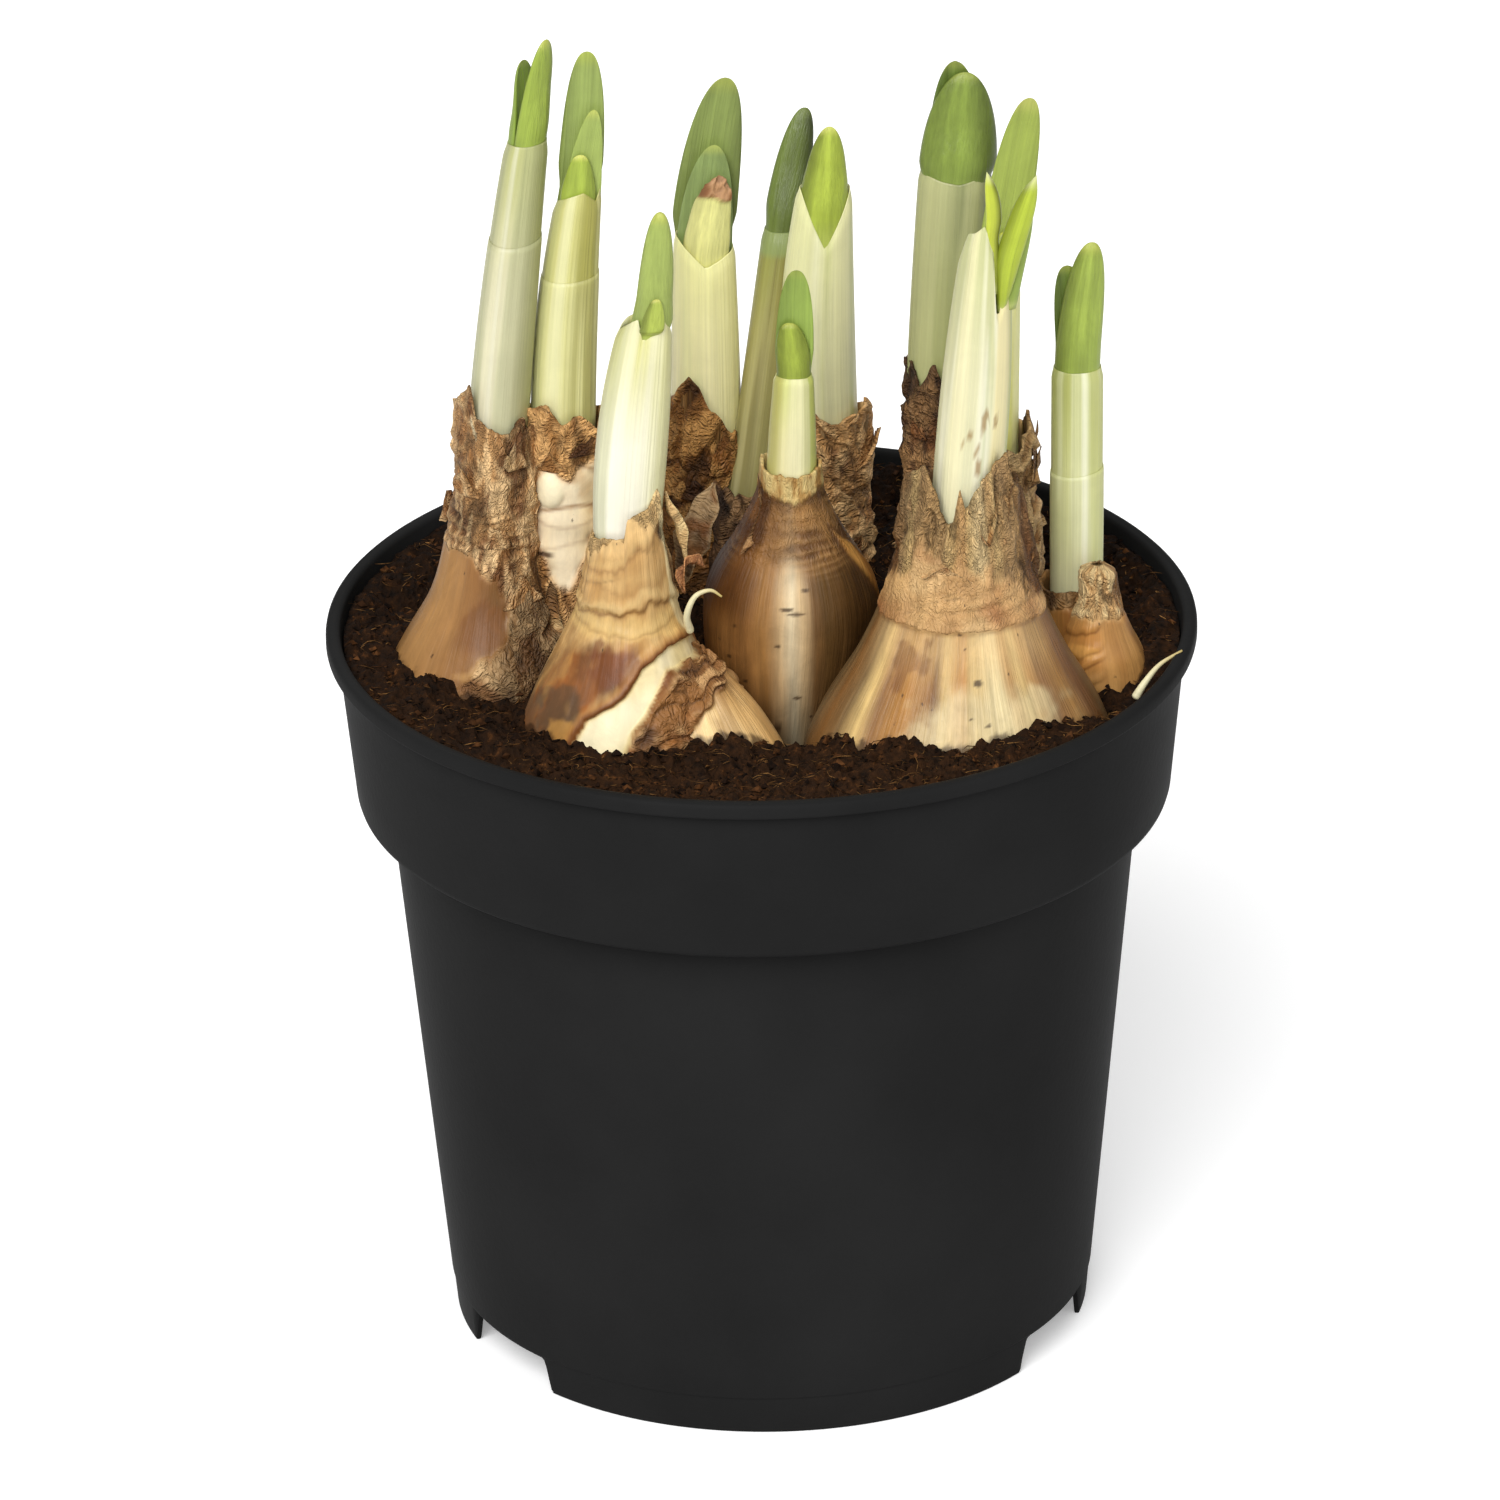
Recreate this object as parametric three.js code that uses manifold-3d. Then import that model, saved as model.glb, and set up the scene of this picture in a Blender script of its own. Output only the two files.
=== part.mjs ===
// A pot of paperwhite narcissus, just sprouted: a thin black nursery pot, the soil that fills it, clumps of
// dry brown bulbs half sunk in the soil, and the shoots that stand in their necks. Each shoot is a pale sheath,
// sometimes inside a second, outer sheath, with two or three thick green leaves folded together inside it.
// Millimetres, +Z up. The origin is the centre of the pot's footprint, on the surface that the pot stands on.
// -Y is the front.
import * as THREE from "three";
import { mergeVertices } from "three/addons/utils/BufferGeometryUtils.js";
import Module from "manifold-3d";

const wasm = await Module();
wasm.setup();

// ---- Driving dimensions ----
const POT_HEIGHT = 129.3;
const RIM_RADIUS = 75; // a 15 cm pot
const WALL = 1.1;
const FOOT_RADIUS = 55.7;
const SHOULDER_RADIUS = 64.9; // the body, just under the collar
const COLLAR_Z = 98.3; // underside of the collar
const COLLAR_RADIUS = 70.6; // the collar at its lower edge
const COLLAR_TOP_RADIUS = 73.1; // the collar just under the lip
const LIP_HEIGHT = 2.8;
const LIP_WIDTH = 2.5;
const FOOT_BAND = 6.8; // height of the foot below its hairline step
const FLOOR_Z = 8;
const NOTCH = { height: 6.4, bottom: 25, top: 20, angles: [-26.8, -146.5, 93.4] };
const DRAIN = { radius: 4.5, circle: 34, count: 4 };

const CLEAR = 0.3; // gap between pieces that touch
const SHEATH_WALL = 0.65;
const SLEEVE_REACH = CLEAR + SHEATH_WALL; // from the sheath's skin to the outer sheath's skin
const LEAF_SPLIT = 0.2; // half of the gap between the two leaves of a pair

const POT_SIDES = 48;
const SOIL_SIDES = 32;
const SHEATH_SIDES = 12;

const SOCKET_DEPTH = 30; // how far up the hole for a shoot is cut, from the foot of the sheath

// Soil surface: it stands nearly level with the rim and dips towards the bulbs.
const SOIL_AT_WALL = 126.8;
const SOIL_DIP = 4;
const SOIL_DIP_WIDTH = 26;
const POCKET_TOP = 131; // above the soil everywhere
const SOIL_PITS = [
  { x: 5, y: -24, depth: 9, width: 8 },
  { x: 58, y: -21, depth: 7, width: 9 },
];

// Colours as 8-bit sRGB.
const LOOKS = {
  pot: { color: 0x1d1d1e, roughness: 0.55 },
  soil: { color: 0x33231a, roughness: 1 },
  bulb: { color: 0xa67c52, roughness: 0.6 },
  sheath: { color: 0xdcdfb4, roughness: 0.5 },
  sleeve: { color: 0xd3d6ae, roughness: 0.5 },
  leaf: { color: 0x7fa650, roughness: 0.5 },
  bud: { color: 0xd9d98a, roughness: 0.5 },
};

// ---- Bulbs ----
// A clump is one or more noses grown together. Each nose is a stack of level ovals: `base` and `mouth` are the
// centres of its lowest and highest oval, `girth` lists [height, radius] and `oval` is depth over width at the
// belly (the neck is round). `torn` is how far the teeth of its papery mouth rise, and the way, in degrees, that
// they stand highest. A frill is the torn top edge of an outer layer of tunic: the height where it parts from
// the nose, how far it stands up and how far it stands off.
const CLUMPS = {
  left: [
    {
      base: [-49.3, -5], mouth: [-44.8, -3], oval: 0.92, torn: [5, 180], seed: 1.1,
      girth: [[100, 7], [107, 13], [117, 17], [126, 15.2], [137, 10.2], [147, 8.2], [158, 7.4], [168, 6.9]],
      frills: [[139, 6, 1.6], [151, 6, 1.4]],
    },
    {
      base: [-36, 0], mouth: [-33.3, 0], oval: 1, torn: [3, -120], seed: 2.7,
      girth: [[100, 4], [108, 8], [118, 9.5], [130, 8.8], [142, 7], [154, 6.6], [167, 7]],
      frills: [[148, 6, 1.4]],
    },
    {
      base: [-45.5, -15.5], mouth: [-41, -9], oval: 0.9, torn: [1, 0], seed: 0.4,
      girth: [[102, 3], [110, 5.2], [118, 6], [127, 4.6], [137, 1.5]],
      frills: [],
    },
  ],
  front_left: [
    {
      base: [-24.5, -28.5], mouth: [-22.6, -24], oval: 0.81, torn: [2.5, 10], seed: 4.2,
      girth: [[100, 8], [108, 14.5], [117, 18.2], [125.5, 17], [136, 12.2], [144, 8.8], [153.5, 6.7]],
      frills: [[137.5, 4, 0.9]],
    },
    {
      base: [-5, -33], mouth: [-13, -28], oval: 1, torn: [1, 0], seed: 5.3,
      girth: [[100, 4], [108, 8.8], [116, 10.6], [124, 9.4], [131, 7], [138, 2.5]],
      frills: [],
    },
  ],
  front_right: [
    {
      base: [33.3, -28], mouth: [34.4, -22], oval: 0.7, torn: [3.5, 0], seed: 3.3,
      girth: [[98, 10], [106, 19.5], [115.5, 25.8], [123.5, 23.6], [134.5, 17.3], [145, 12.6], [157, 8.6]],
      frills: [[135.5, 4, 0.9], [147, 6, 1.4]],
    },
    {
      base: [33, -1.5], mouth: [31.8, 17], oval: 1, torn: [5, 180], seed: 6.1,
      girth: [[100, 5], [110, 11], [120, 11.5], [132, 9], [142, 7.8], [152, 7.7], [165, 8.2]],
      frills: [[145, 6, 1.4]],
    },
    {
      base: [40, 2], mouth: [42.2, 11], oval: 1, torn: [4, 0], seed: 7.4,
      girth: [[100, 4], [110, 7], [120, 7.6], [132, 7.4], [144, 6.8], [157, 6.2]],
      frills: [[141, 6, 1.4]],
    },
  ],
  rear_left: [
    {
      base: [-13, 34], mouth: [-9.2, 33], oval: 1, torn: [6, -130], seed: 8.6,
      girth: [[100, 5], [108, 10], [117, 12], [127, 11], [137, 8.8], [151, 7.6]],
      frills: [[135, 7, 1.4]],
    },
    {
      base: [-4.8, 26], mouth: [-2.4, 24], oval: 1, torn: [2, 0], seed: 9.2,
      girth: [[100, 3], [111, 6], [121, 7], [131, 6.3], [141.5, 5.4]],
      frills: [],
    },
  ],
  rear: [
    {
      base: [11.5, 37], mouth: [12, 36], oval: 1, torn: [3.5, -10], seed: 10.5,
      girth: [[100, 4], [109, 8], [118, 9], [128, 8.2], [138, 7.6], [149, 7.9]],
      frills: [[134, 6, 1.3]],
    },
  ],
  centre: [
    {
      base: [3.4, -8], mouth: [5.3, -7.6], oval: 0.93, torn: [0.7, 0], seed: 11.7,
      girth: [
        [98, 3.5], [108, 6.5], [119, 10.2], [126, 12.9], [132, 14.6], [137.5, 14.8], [143, 12.9], [148.5, 9.4],
        [153, 6.8], [158, 5.9],
      ],
      frills: [],
    },
  ],
  right: [
    {
      base: [57.6, -5.5], mouth: [54.5, -2.5], oval: 1.15, torn: [1.2, 90], seed: 12.9,
      girth: [[100, 4], [108, 7.4], [116, 8.9], [125, 8.4], [136, 6.8]],
      frills: [],
    },
    {
      base: [58, -9], mouth: [57.6, -9.5], oval: 1, torn: [0.8, 0], seed: 13.4,
      girth: [[104, 4], [114, 6], [124, 5.4], [132, 3.6], [142, 3]],
      frills: [],
    },
  ],
};

// ---- Shoots ----
// `foot` and `top` are the centres of the sheath's floor and of its highest edge, `bow` bends it between them,
// and `across` is its half-width at foot, middle and top. `oval` is depth over width, and `turn` is the angle
// of its width, in degrees from +X. `notch` is the way that the V in its edge faces and how deep it is.
// `sleeve` is the height of the outer sheath. A leaf's `layer` says where it lies in the fold, `tip` is its
// height, `half` its half-width in the open, and `lean` how far its tip moves across and apart.
const SHOOTS = {
  left: {
    clump: "left", foot: [-45.3, -3, 155], top: [-38.3, -3, 219.3], bow: -0.6, across: [4.65, 4, 3.1],
    oval: 0.85, turn: 50, notch: [0, 0], sleeve: 200,
    leaves: [
      { layer: "front", tip: 238.5, half: 3, lean: [0, 0.6] },
      { layer: "back", tip: 233.8, half: 2.7, lean: [0, 2.6] },
    ],
  },
  left_inner: {
    clump: "left", foot: [-33.4, 0, 156], top: [-29.6, 0, 209.5], bow: 0, across: [4.8, 4.6, 3.7],
    oval: 0.85, turn: 0, notch: [90, 9], sleeve: 196,
    leaves: [
      { layer: "back", tip: 234.6, half: 3.8, lean: [-1.4, 1.2] },
      { layer: "core", tip: 224.1, half: 3.4, lean: [-0.3, 0] },
      { layer: "front", tip: 216.3, half: 3.3, lean: [-0.7, 0] },
    ],
  },
  front_left: {
    clump: "front_left", foot: [-23, -24, 146], top: [-18.6, -24, 195.5], bow: -0.8, across: [5, 5.7, 4.2],
    oval: 0.8, turn: 0, notch: [-80, 5.5], sleeve: 0,
    leaves: [
      { layer: "back", tip: 215.3, half: 3.1, lean: [1.8, 0.6] },
      { layer: "front", tip: 198.8, half: 2.4, lean: [0.6, 0] },
    ],
  },
  rear_left: {
    clump: "rear_left", foot: [-9.1, 33, 138], top: [-8.4, 33, 186.2], bow: 0, across: [6.2, 6, 5.6],
    oval: 0.85, turn: 0, notch: [-85, 7], sleeve: 0,
    leaves: [
      { layer: "back", tip: 215.6, half: 5.4, lean: [2.4, 1] },
      { layer: "core", tip: 203.6, half: 4.9, lean: [0.2, 0] },
      { layer: "front", tip: 196, half: 3.5, lean: [1.6, 0.2], bud: true },
    ],
  },
  rear_middle: {
    clump: "rear_left", foot: [-3, 24, 134], top: [4.3, 24, 190.4], bow: 0, across: [3.8, 3.6, 3.3],
    oval: 0.85, turn: 0, notch: [0, 0], sleeve: 0,
    leaves: [
      { layer: "back", tip: 213.9, half: 3.1, lean: [1.5, 0.3] },
      { layer: "front", tip: 207.4, half: 2.7, lean: [1, 0.2] },
    ],
  },
  rear: {
    clump: "rear", foot: [11.2, 36, 138], top: [12.1, 36, 195], bow: -0.3, across: [6.4, 6.1, 5],
    oval: 0.8, turn: 0, notch: [-90, 11.5], sleeve: 0,
    leaves: [
      { layer: "front", tip: 205.2, half: 4.4, lean: [0.6, 0] },
      { layer: "back", tip: 201, half: 4, lean: [0.4, 0.5] },
    ],
  },
  centre: {
    clump: "centre", foot: [5.2, -7.6, 150], top: [6.2, -7.6, 177.2], bow: 0, across: [4.5, 4.2, 3.4],
    oval: 0.85, turn: 0, notch: [0, 0], sleeve: 0,
    leaves: [
      { layer: "back", tip: 197, half: 3, lean: [0, 0.6] },
      { layer: "front", tip: 187.8, half: 2.7, lean: [-0.7, 0.2] },
    ],
  },
  right_rear: {
    clump: "front_right", foot: [31.6, 17, 152], top: [34.4, 17, 203.5], bow: -0.2, across: [6.6, 6.5, 6.2],
    oval: 0.75, turn: 0, notch: [0, 3], sleeve: 0,
    leaves: [
      { layer: "front", tip: 222.4, half: 6, lean: [0.6, 0] },
      { layer: "back", tip: 224.6, half: 5, lean: [-1, 0.8] },
    ],
  },
  right_inner: {
    clump: "front_right", foot: [40.2, 11, 147], top: [41.2, 11, 190], bow: 0, across: [4.3, 4.2, 4.1],
    oval: 0.75, turn: 0, notch: [0, 4], sleeve: 0,
    leaves: [
      { layer: "back", tip: 220, half: 3.7, lean: [5, 1] },
      { layer: "front", tip: 205, half: 2.8, lean: [1.4, 0] },
    ],
  },
  front_right: {
    clump: "front_right", foot: [34, -22, 149], top: [38.9, -22, 212.5], bow: 0.3, across: [6.2, 6.9, 4],
    oval: 0.85, turn: 75, notch: [-25, 16], sleeve: 0,
    leaves: [
      { layer: "back", tip: 221.2, half: 2.6, lean: [0, 0.2] },
      { layer: "front", tip: 220.4, half: 2.9, lean: [0, 7.2] },
    ],
  },
  right: {
    clump: "right", foot: [54.1, -2.5, 127], top: [54.5, -2.5, 175.5], bow: 0, across: [4.3, 4.4, 4.4],
    oval: 0.85, turn: 0, notch: [0, 0], sleeve: 156.6,
    leaves: [
      { layer: "front", tip: 199.5, half: 4, lean: [2.4, 0] },
      { layer: "back", tip: 194.9, half: 3.6, lean: [-1.8, 0.6] },
    ],
  },
};

// ---- Small maths ----
const radians = THREE.MathUtils.degToRad;
const lerp = THREE.MathUtils.lerp;
const clamp = THREE.MathUtils.clamp;
const easeInOut = (t) => t * t * (3 - 2 * t);

// A value along z through knots [z, value], as a smooth cubic with Catmull-Rom slopes.
function along(knots, z) {
  const last = knots.length - 2;
  const found = knots.findIndex((knot) => knot[0] > z) - 1;
  const i = found < 0 ? (z < knots[0][0] ? 0 : last) : Math.min(found, last);
  const slope = (k) => {
    const a = knots[Math.max(k - 1, 0)];
    const b = knots[Math.min(k + 1, last + 1)];
    return (b[1] - a[1]) / (b[0] - a[0]);
  };
  const [z0, v0] = knots[i];
  const [z1, v1] = knots[i + 1];
  const step = z1 - z0;
  const t = clamp((z - z0) / step, 0, 1);
  return (
    v0 * (1 + 2 * t) * (1 - t) ** 2 +
    v1 * t * t * (3 - 2 * t) +
    slope(i) * step * t * (1 - t) ** 2 -
    slope(i + 1) * step * t * t * (1 - t)
  );
}

// A triangle wave of the angle a, from -1 to 1, with a period of one full turn.
const zigzag = (a) => (2 / Math.PI) * Math.asin(Math.sin(a));

// Torn paper edge: a coarse and a finer triangle wave, from -1 to 1 round a nose.
const teeth = (angle, seed) => 0.6 * zigzag(3 * angle + seed) + 0.4 * zigzag(7 * angle + 2.3 * seed);

// ---- Solids ----
function solidFrom(points, faces) {
  const vertProperties = new Float32Array(points.flatMap((p) => [p.x, p.y, p.z]));
  return new wasm.Manifold(new wasm.Mesh({ numProp: 3, vertProperties, triVerts: new Uint32Array(faces) }));
}

// The closed body through a stack of rings with equal point counts, each wound anticlockwise as seen from above
// on the way up. Its first and last ring close to their middles.
function skin(rings) {
  const sides = rings[0].length;
  const points = rings.flat();
  const middle = (ring) => ring.reduce((sum, p) => sum.add(p), new THREE.Vector3()).divideScalar(sides);
  const bottom = points.push(middle(rings[0])) - 1;
  const top = points.push(middle(rings.at(-1))) - 1;
  const faces = [];
  const lastRow = (rings.length - 1) * sides;
  for (let j = 0; j < sides; j++) {
    const next = (j + 1) % sides;
    faces.push(bottom, next, j, top, lastRow + j, lastRow + next);
    for (let row = 0; row < lastRow; row += sides) {
      faces.push(row + j, row + next, row + sides + next);
      faces.push(row + j, row + sides + next, row + sides + j);
    }
  }
  return solidFrom(points, faces);
}

// The closed body through a stack of rings whose last ring joins on to its first, as in a tube with a wall.
function hoop(rings) {
  const sides = rings[0].length;
  const points = rings.flat();
  const faces = [];
  for (let row = 0; row < points.length; row += sides) {
    const above = (row + sides) % points.length;
    for (let j = 0; j < sides; j++) {
      const next = (j + 1) % sides;
      faces.push(row + j, row + next, above + next, row + j, above + next, above + j);
    }
  }
  return solidFrom(points, faces);
}

// A three.js geometry as a solid.
function solidOf(geometry) {
  const bare = geometry.clone();
  bare.deleteAttribute("normal");
  bare.deleteAttribute("uv");
  const merged = mergeVertices(bare, 1e-4);
  const vertProperties = new Float32Array(merged.attributes.position.array);
  const triVerts = new Uint32Array(merged.index.array);
  return new wasm.Manifold(new wasm.Mesh({ numProp: 3, vertProperties, triVerts }));
}

function geometryOf(solid) {
  const mesh = solid.getMesh();
  return new THREE.BufferGeometry()
    .setAttribute("position", new THREE.BufferAttribute(new Float32Array(mesh.vertProperties), 3))
    .setIndex(new THREE.BufferAttribute(new Uint32Array(mesh.triVerts), 1));
}

// A round ring of points at one radius, with its height given by a function of the angle.
function ringAt(sides, radius, height) {
  return Array.from({ length: sides }, (_, j) => {
    const angle = (2 * Math.PI * j) / sides;
    return new THREE.Vector3(radius * Math.cos(angle), radius * Math.sin(angle), height(angle));
  });
}

// ---- Pot ----
const bodyRadius = (z) => lerp(FOOT_RADIUS, SHOULDER_RADIUS, z / COLLAR_Z);
const collarRadius = (z) =>
  lerp(COLLAR_RADIUS, COLLAR_TOP_RADIUS, (z - COLLAR_Z) / (POT_HEIGHT - LIP_HEIGHT - COLLAR_Z));

function makePot() {
  const lipZ = POT_HEIGHT - LIP_HEIGHT;
  const bend = 0.7; // radius of the lip's and the collar's rounded edges
  const ledge = COLLAR_Z + WALL;
  const profile = [
    [0, FLOOR_Z],
    [bodyRadius(FLOOR_Z) - WALL, FLOOR_Z],
    [FOOT_RADIUS - WALL, 0],
    [FOOT_RADIUS - 0.25, 0],
    [bodyRadius(FOOT_BAND) - 0.25, FOOT_BAND],
    [bodyRadius(FOOT_BAND), FOOT_BAND + 0.3],
    [SHOULDER_RADIUS, COLLAR_Z],
    [COLLAR_RADIUS - bend, COLLAR_Z],
    [COLLAR_RADIUS, COLLAR_Z + bend],
    [COLLAR_TOP_RADIUS, lipZ],
    [RIM_RADIUS, lipZ],
    [RIM_RADIUS, POT_HEIGHT - bend],
    [RIM_RADIUS - bend, POT_HEIGHT],
    [RIM_RADIUS - LIP_WIDTH + bend, POT_HEIGHT],
    [RIM_RADIUS - LIP_WIDTH, POT_HEIGHT - bend],
    [collarRadius(ledge) - WALL, ledge],
    [bodyRadius(ledge) - WALL, ledge],
    [bodyRadius(FLOOR_Z + WALL) - WALL, FLOOR_Z + WALL],
    [0, FLOOR_Z + WALL],
  ].map(([r, z]) => new THREE.Vector2(r, z));
  // Lathe turns about Y, so the result is stood up on Z.
  let pot = solidOf(new THREE.LatheGeometry(profile, POT_SIDES).rotateX(Math.PI / 2));

  const outline = new THREE.Shape([
    new THREE.Vector2(-NOTCH.bottom / 2, -1),
    new THREE.Vector2(NOTCH.bottom / 2, -1),
    new THREE.Vector2(NOTCH.bottom / 2, 0),
    new THREE.Vector2(NOTCH.top / 2 + 1, NOTCH.height - 1.5),
    new THREE.Vector2(NOTCH.top / 2 - 0.5, NOTCH.height),
    new THREE.Vector2(-NOTCH.top / 2 + 0.5, NOTCH.height),
    new THREE.Vector2(-NOTCH.top / 2 - 1, NOTCH.height - 1.5),
    new THREE.Vector2(-NOTCH.bottom / 2, 0),
  ]);
  for (const degrees of NOTCH.angles) {
    // The outline stands up and is pushed outwards along the notch's direction.
    const cutter = new THREE.ExtrudeGeometry(outline, { depth: 20, bevelEnabled: false })
      .rotateX(Math.PI / 2)
      .translate(0, 65, 0)
      .rotateZ(radians(degrees - 90));
    pot = pot.subtract(solidOf(cutter));
  }
  for (let k = 0; k < DRAIN.count; k++) {
    const hole = new THREE.CylinderGeometry(DRAIN.radius, DRAIN.radius, 4 * WALL, 8)
      .rotateX(Math.PI / 2)
      .translate(DRAIN.circle, 0, FLOOR_Z)
      .rotateZ((2 * Math.PI * k) / DRAIN.count);
    pot = pot.subtract(solidOf(hole));
  }
  return pot;
}

// ---- Bulbs ----
// More facets round a stout nose than round a thin one.
const sidesOf = (nose) => 2 * Math.round(4 + Math.max(...nose.girth.map(([, radius]) => radius)) / 4);

// A level oval of the nose at height z, `grow` outside its skin, with its points raised by `rise` of their angle.
function noseRing(nose, z, { grow = 0, rise = () => 0 } = {}) {
  const sides = sidesOf(nose);
  const [low, high] = [nose.girth[0][0], nose.girth.at(-1)[0]];
  const share = clamp((z - low) / (high - low), 0, 1);
  const radius = along(nose.girth, z);
  const oval = lerp(nose.oval, 1, share);
  const x = lerp(nose.base[0], nose.mouth[0], easeInOut(share));
  const y = lerp(nose.base[1], nose.mouth[1], easeInOut(share));
  return Array.from({ length: sides }, (_, j) => {
    const angle = (2 * Math.PI * j) / sides;
    const swell = 0.025 * Math.sin(2 * angle + nose.seed) + 0.015 * Math.sin(5 * angle + 2 * nose.seed);
    const across = radius * (1 + swell) + grow;
    const deep = oval * radius * (1 + swell) + grow;
    return new THREE.Vector3(x + across * Math.cos(angle), y + deep * Math.sin(angle), z + rise(angle));
  });
}

// The torn edge of a frill and the open gap behind it: up the outside, over the edge and down again.
function frillRings(nose, [z, height, flare], order) {
  const rise = (angle) => height * (0.15 + 0.4 * teeth(angle, nose.seed + 1.7 * order + 1));
  return [
    noseRing(nose, z, {}),
    noseRing(nose, z + height / 2, { grow: flare, rise }),
    noseRing(nose, z + height / 2, { grow: flare - 0.7, rise }),
    noseRing(nose, z + 1, { grow: -0.8 }),
  ];
}

// One nose, filled, from its basal plate to its torn mouth.
function noseSolid(nose) {
  const heights = nose.girth.map(([z]) => z);
  const high = heights.at(-1);
  const [torn, highest] = nose.torn;
  const rise = (angle) => torn * (0.5 * teeth(angle, nose.seed) + 0.5 * Math.cos(angle - radians(highest)));
  const rings = heights.slice(0, -1).map((z) => [z, [noseRing(nose, z)]]);
  nose.frills.forEach((frill, order) => rings.push([frill[0], frillRings(nose, frill, order)]));
  rings.sort((a, b) => a[0] - b[0]);
  return skin([
    ...rings.flatMap(([, stack]) => stack),
    noseRing(nose, high, { rise }),
    noseRing(nose, high, { grow: -0.6, rise }),
    noseRing(nose, high, { grow: -0.8, rise: () => -torn - 1 }),
  ]);
}

// The hole that a nose leaves in the soil.
function nosePocket(nose) {
  const heights = nose.girth.map(([z]) => z).filter((z) => z < POCKET_TOP);
  const [low, ...rest] = heights;
  const under = noseRing(nose, low, { grow: CLEAR, rise: () => -CLEAR });
  return skin([under, ...[...rest, POCKET_TOP].map((z) => noseRing(nose, z, { grow: CLEAR }))]);
}

// ---- Shoots ----
// The share of the way up a sheath, and its middle there. Above the sheath the line runs on straight.
const shareOf = (shoot, z) => (z - shoot.foot[2]) / (shoot.top[2] - shoot.foot[2]);

function middleAt(shoot, z) {
  const share = shareOf(shoot, z);
  const bend = share < 1 ? 4 * share * (1 - share) : 4 * (1 - share);
  return [
    lerp(shoot.foot[0], shoot.top[0], share) + shoot.bow * bend,
    lerp(shoot.foot[1], shoot.top[1], share),
  ];
}

function halfWidth(shoot, z) {
  const t = clamp(shareOf(shoot, z), 0, 1);
  const [low, mid, high] = shoot.across;
  return low * (1 - t) * (1 - 2 * t) + mid * 4 * t * (1 - t) + high * t * (2 * t - 1);
}

// A level oval ring of a shoot at height z (a number or a function of the angle), `grow` outside the sheath.
function shootRing(shoot, z, grow) {
  const turn = radians(shoot.turn);
  return Array.from({ length: SHEATH_SIDES }, (_, j) => {
    const angle = (2 * Math.PI * j) / SHEATH_SIDES;
    const height = typeof z === "function" ? z(angle + turn) : z;
    const [x, y] = middleAt(shoot, height);
    const wide = halfWidth(shoot, height);
    const u = (wide + grow) * Math.cos(angle);
    const w = (wide * shoot.oval + grow) * Math.sin(angle);
    return new THREE.Vector3(
      x + u * Math.cos(turn) - w * Math.sin(turn),
      y + u * Math.sin(turn) + w * Math.cos(turn),
      height,
    );
  });
}

// The height of a sheath's edge: its top, less the V, which takes up half of the way round.
function edgeOf(shoot) {
  const [degrees, depth] = shoot.notch;
  return (angle) => {
    const away = Math.acos(clamp(Math.cos(angle - radians(degrees)), -1, 1));
    return shoot.top[2] - depth * Math.max(0, 1 - away / (Math.PI / 2));
  };
}

// A filled sheath shape from its foot up to `top`, with `grow` added all round and under it.
function plug(shoot, grow, top) {
  const low = shoot.foot[2] - grow;
  return skin([0, 0.33, 0.67, 1].map((share) => shootRing(shoot, lerp(low, top, share), grow)));
}

const sheathFloor = (shoot) => shoot.foot[2] + 1.5;

function sheathSolid(shoot) {
  const edge = edgeOf(shoot);
  const low = shoot.foot[2];
  const climb = (share) => (angle) => lerp(low, edge(angle), share);
  const drop = (share) => (angle) => lerp(sheathFloor(shoot), edge(angle), share);
  return skin([
    ...[0, 0.33, 0.67, 1].map((share) => shootRing(shoot, climb(share), 0)),
    ...[1, 0.5, 0].map((share) => shootRing(shoot, drop(share), -SHEATH_WALL)),
  ]);
}

// The outer sheath: an open tube round the lower part of a sheath, with a level top edge.
function sleeveSolid(shoot) {
  const heights = [0, 0.33, 0.67, 1].map((share) => lerp(shoot.foot[2], shoot.sleeve, share));
  return hoop([
    ...heights.map((z) => shootRing(shoot, z, SLEEVE_REACH)),
    ...heights.reverse().map((z) => shootRing(shoot, z, CLEAR)),
  ]);
}

// A leaf's section, as points [u, w] across and through the fold. A front or back leaf fills one half of the
// fold, with a slightly hollow inner face, and a core leaf is the flat lens between them.
function leafSection(layer, wide, deep) {
  const arc = (count, turn) => Array.from({ length: count }, (_, k) => (turn * k) / count);
  if (layer === "core") return arc(8, 2 * Math.PI).map((a) => [wide * Math.cos(a), deep * Math.sin(a)]);
  const outer = [...arc(5, Math.PI), Math.PI].map((a) => [
    wide * Math.cos(a),
    LEAF_SPLIT + (deep - LEAF_SPLIT) * Math.sin(a),
  ]);
  const inner = [-0.5, 0.5].map((u) => [wide * u, LEAF_SPLIT + 0.17 * deep]);
  const section = [...outer, ...inner];
  return layer === "back" ? section : section.map(([u, w]) => [-u, -w]);
}

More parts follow.
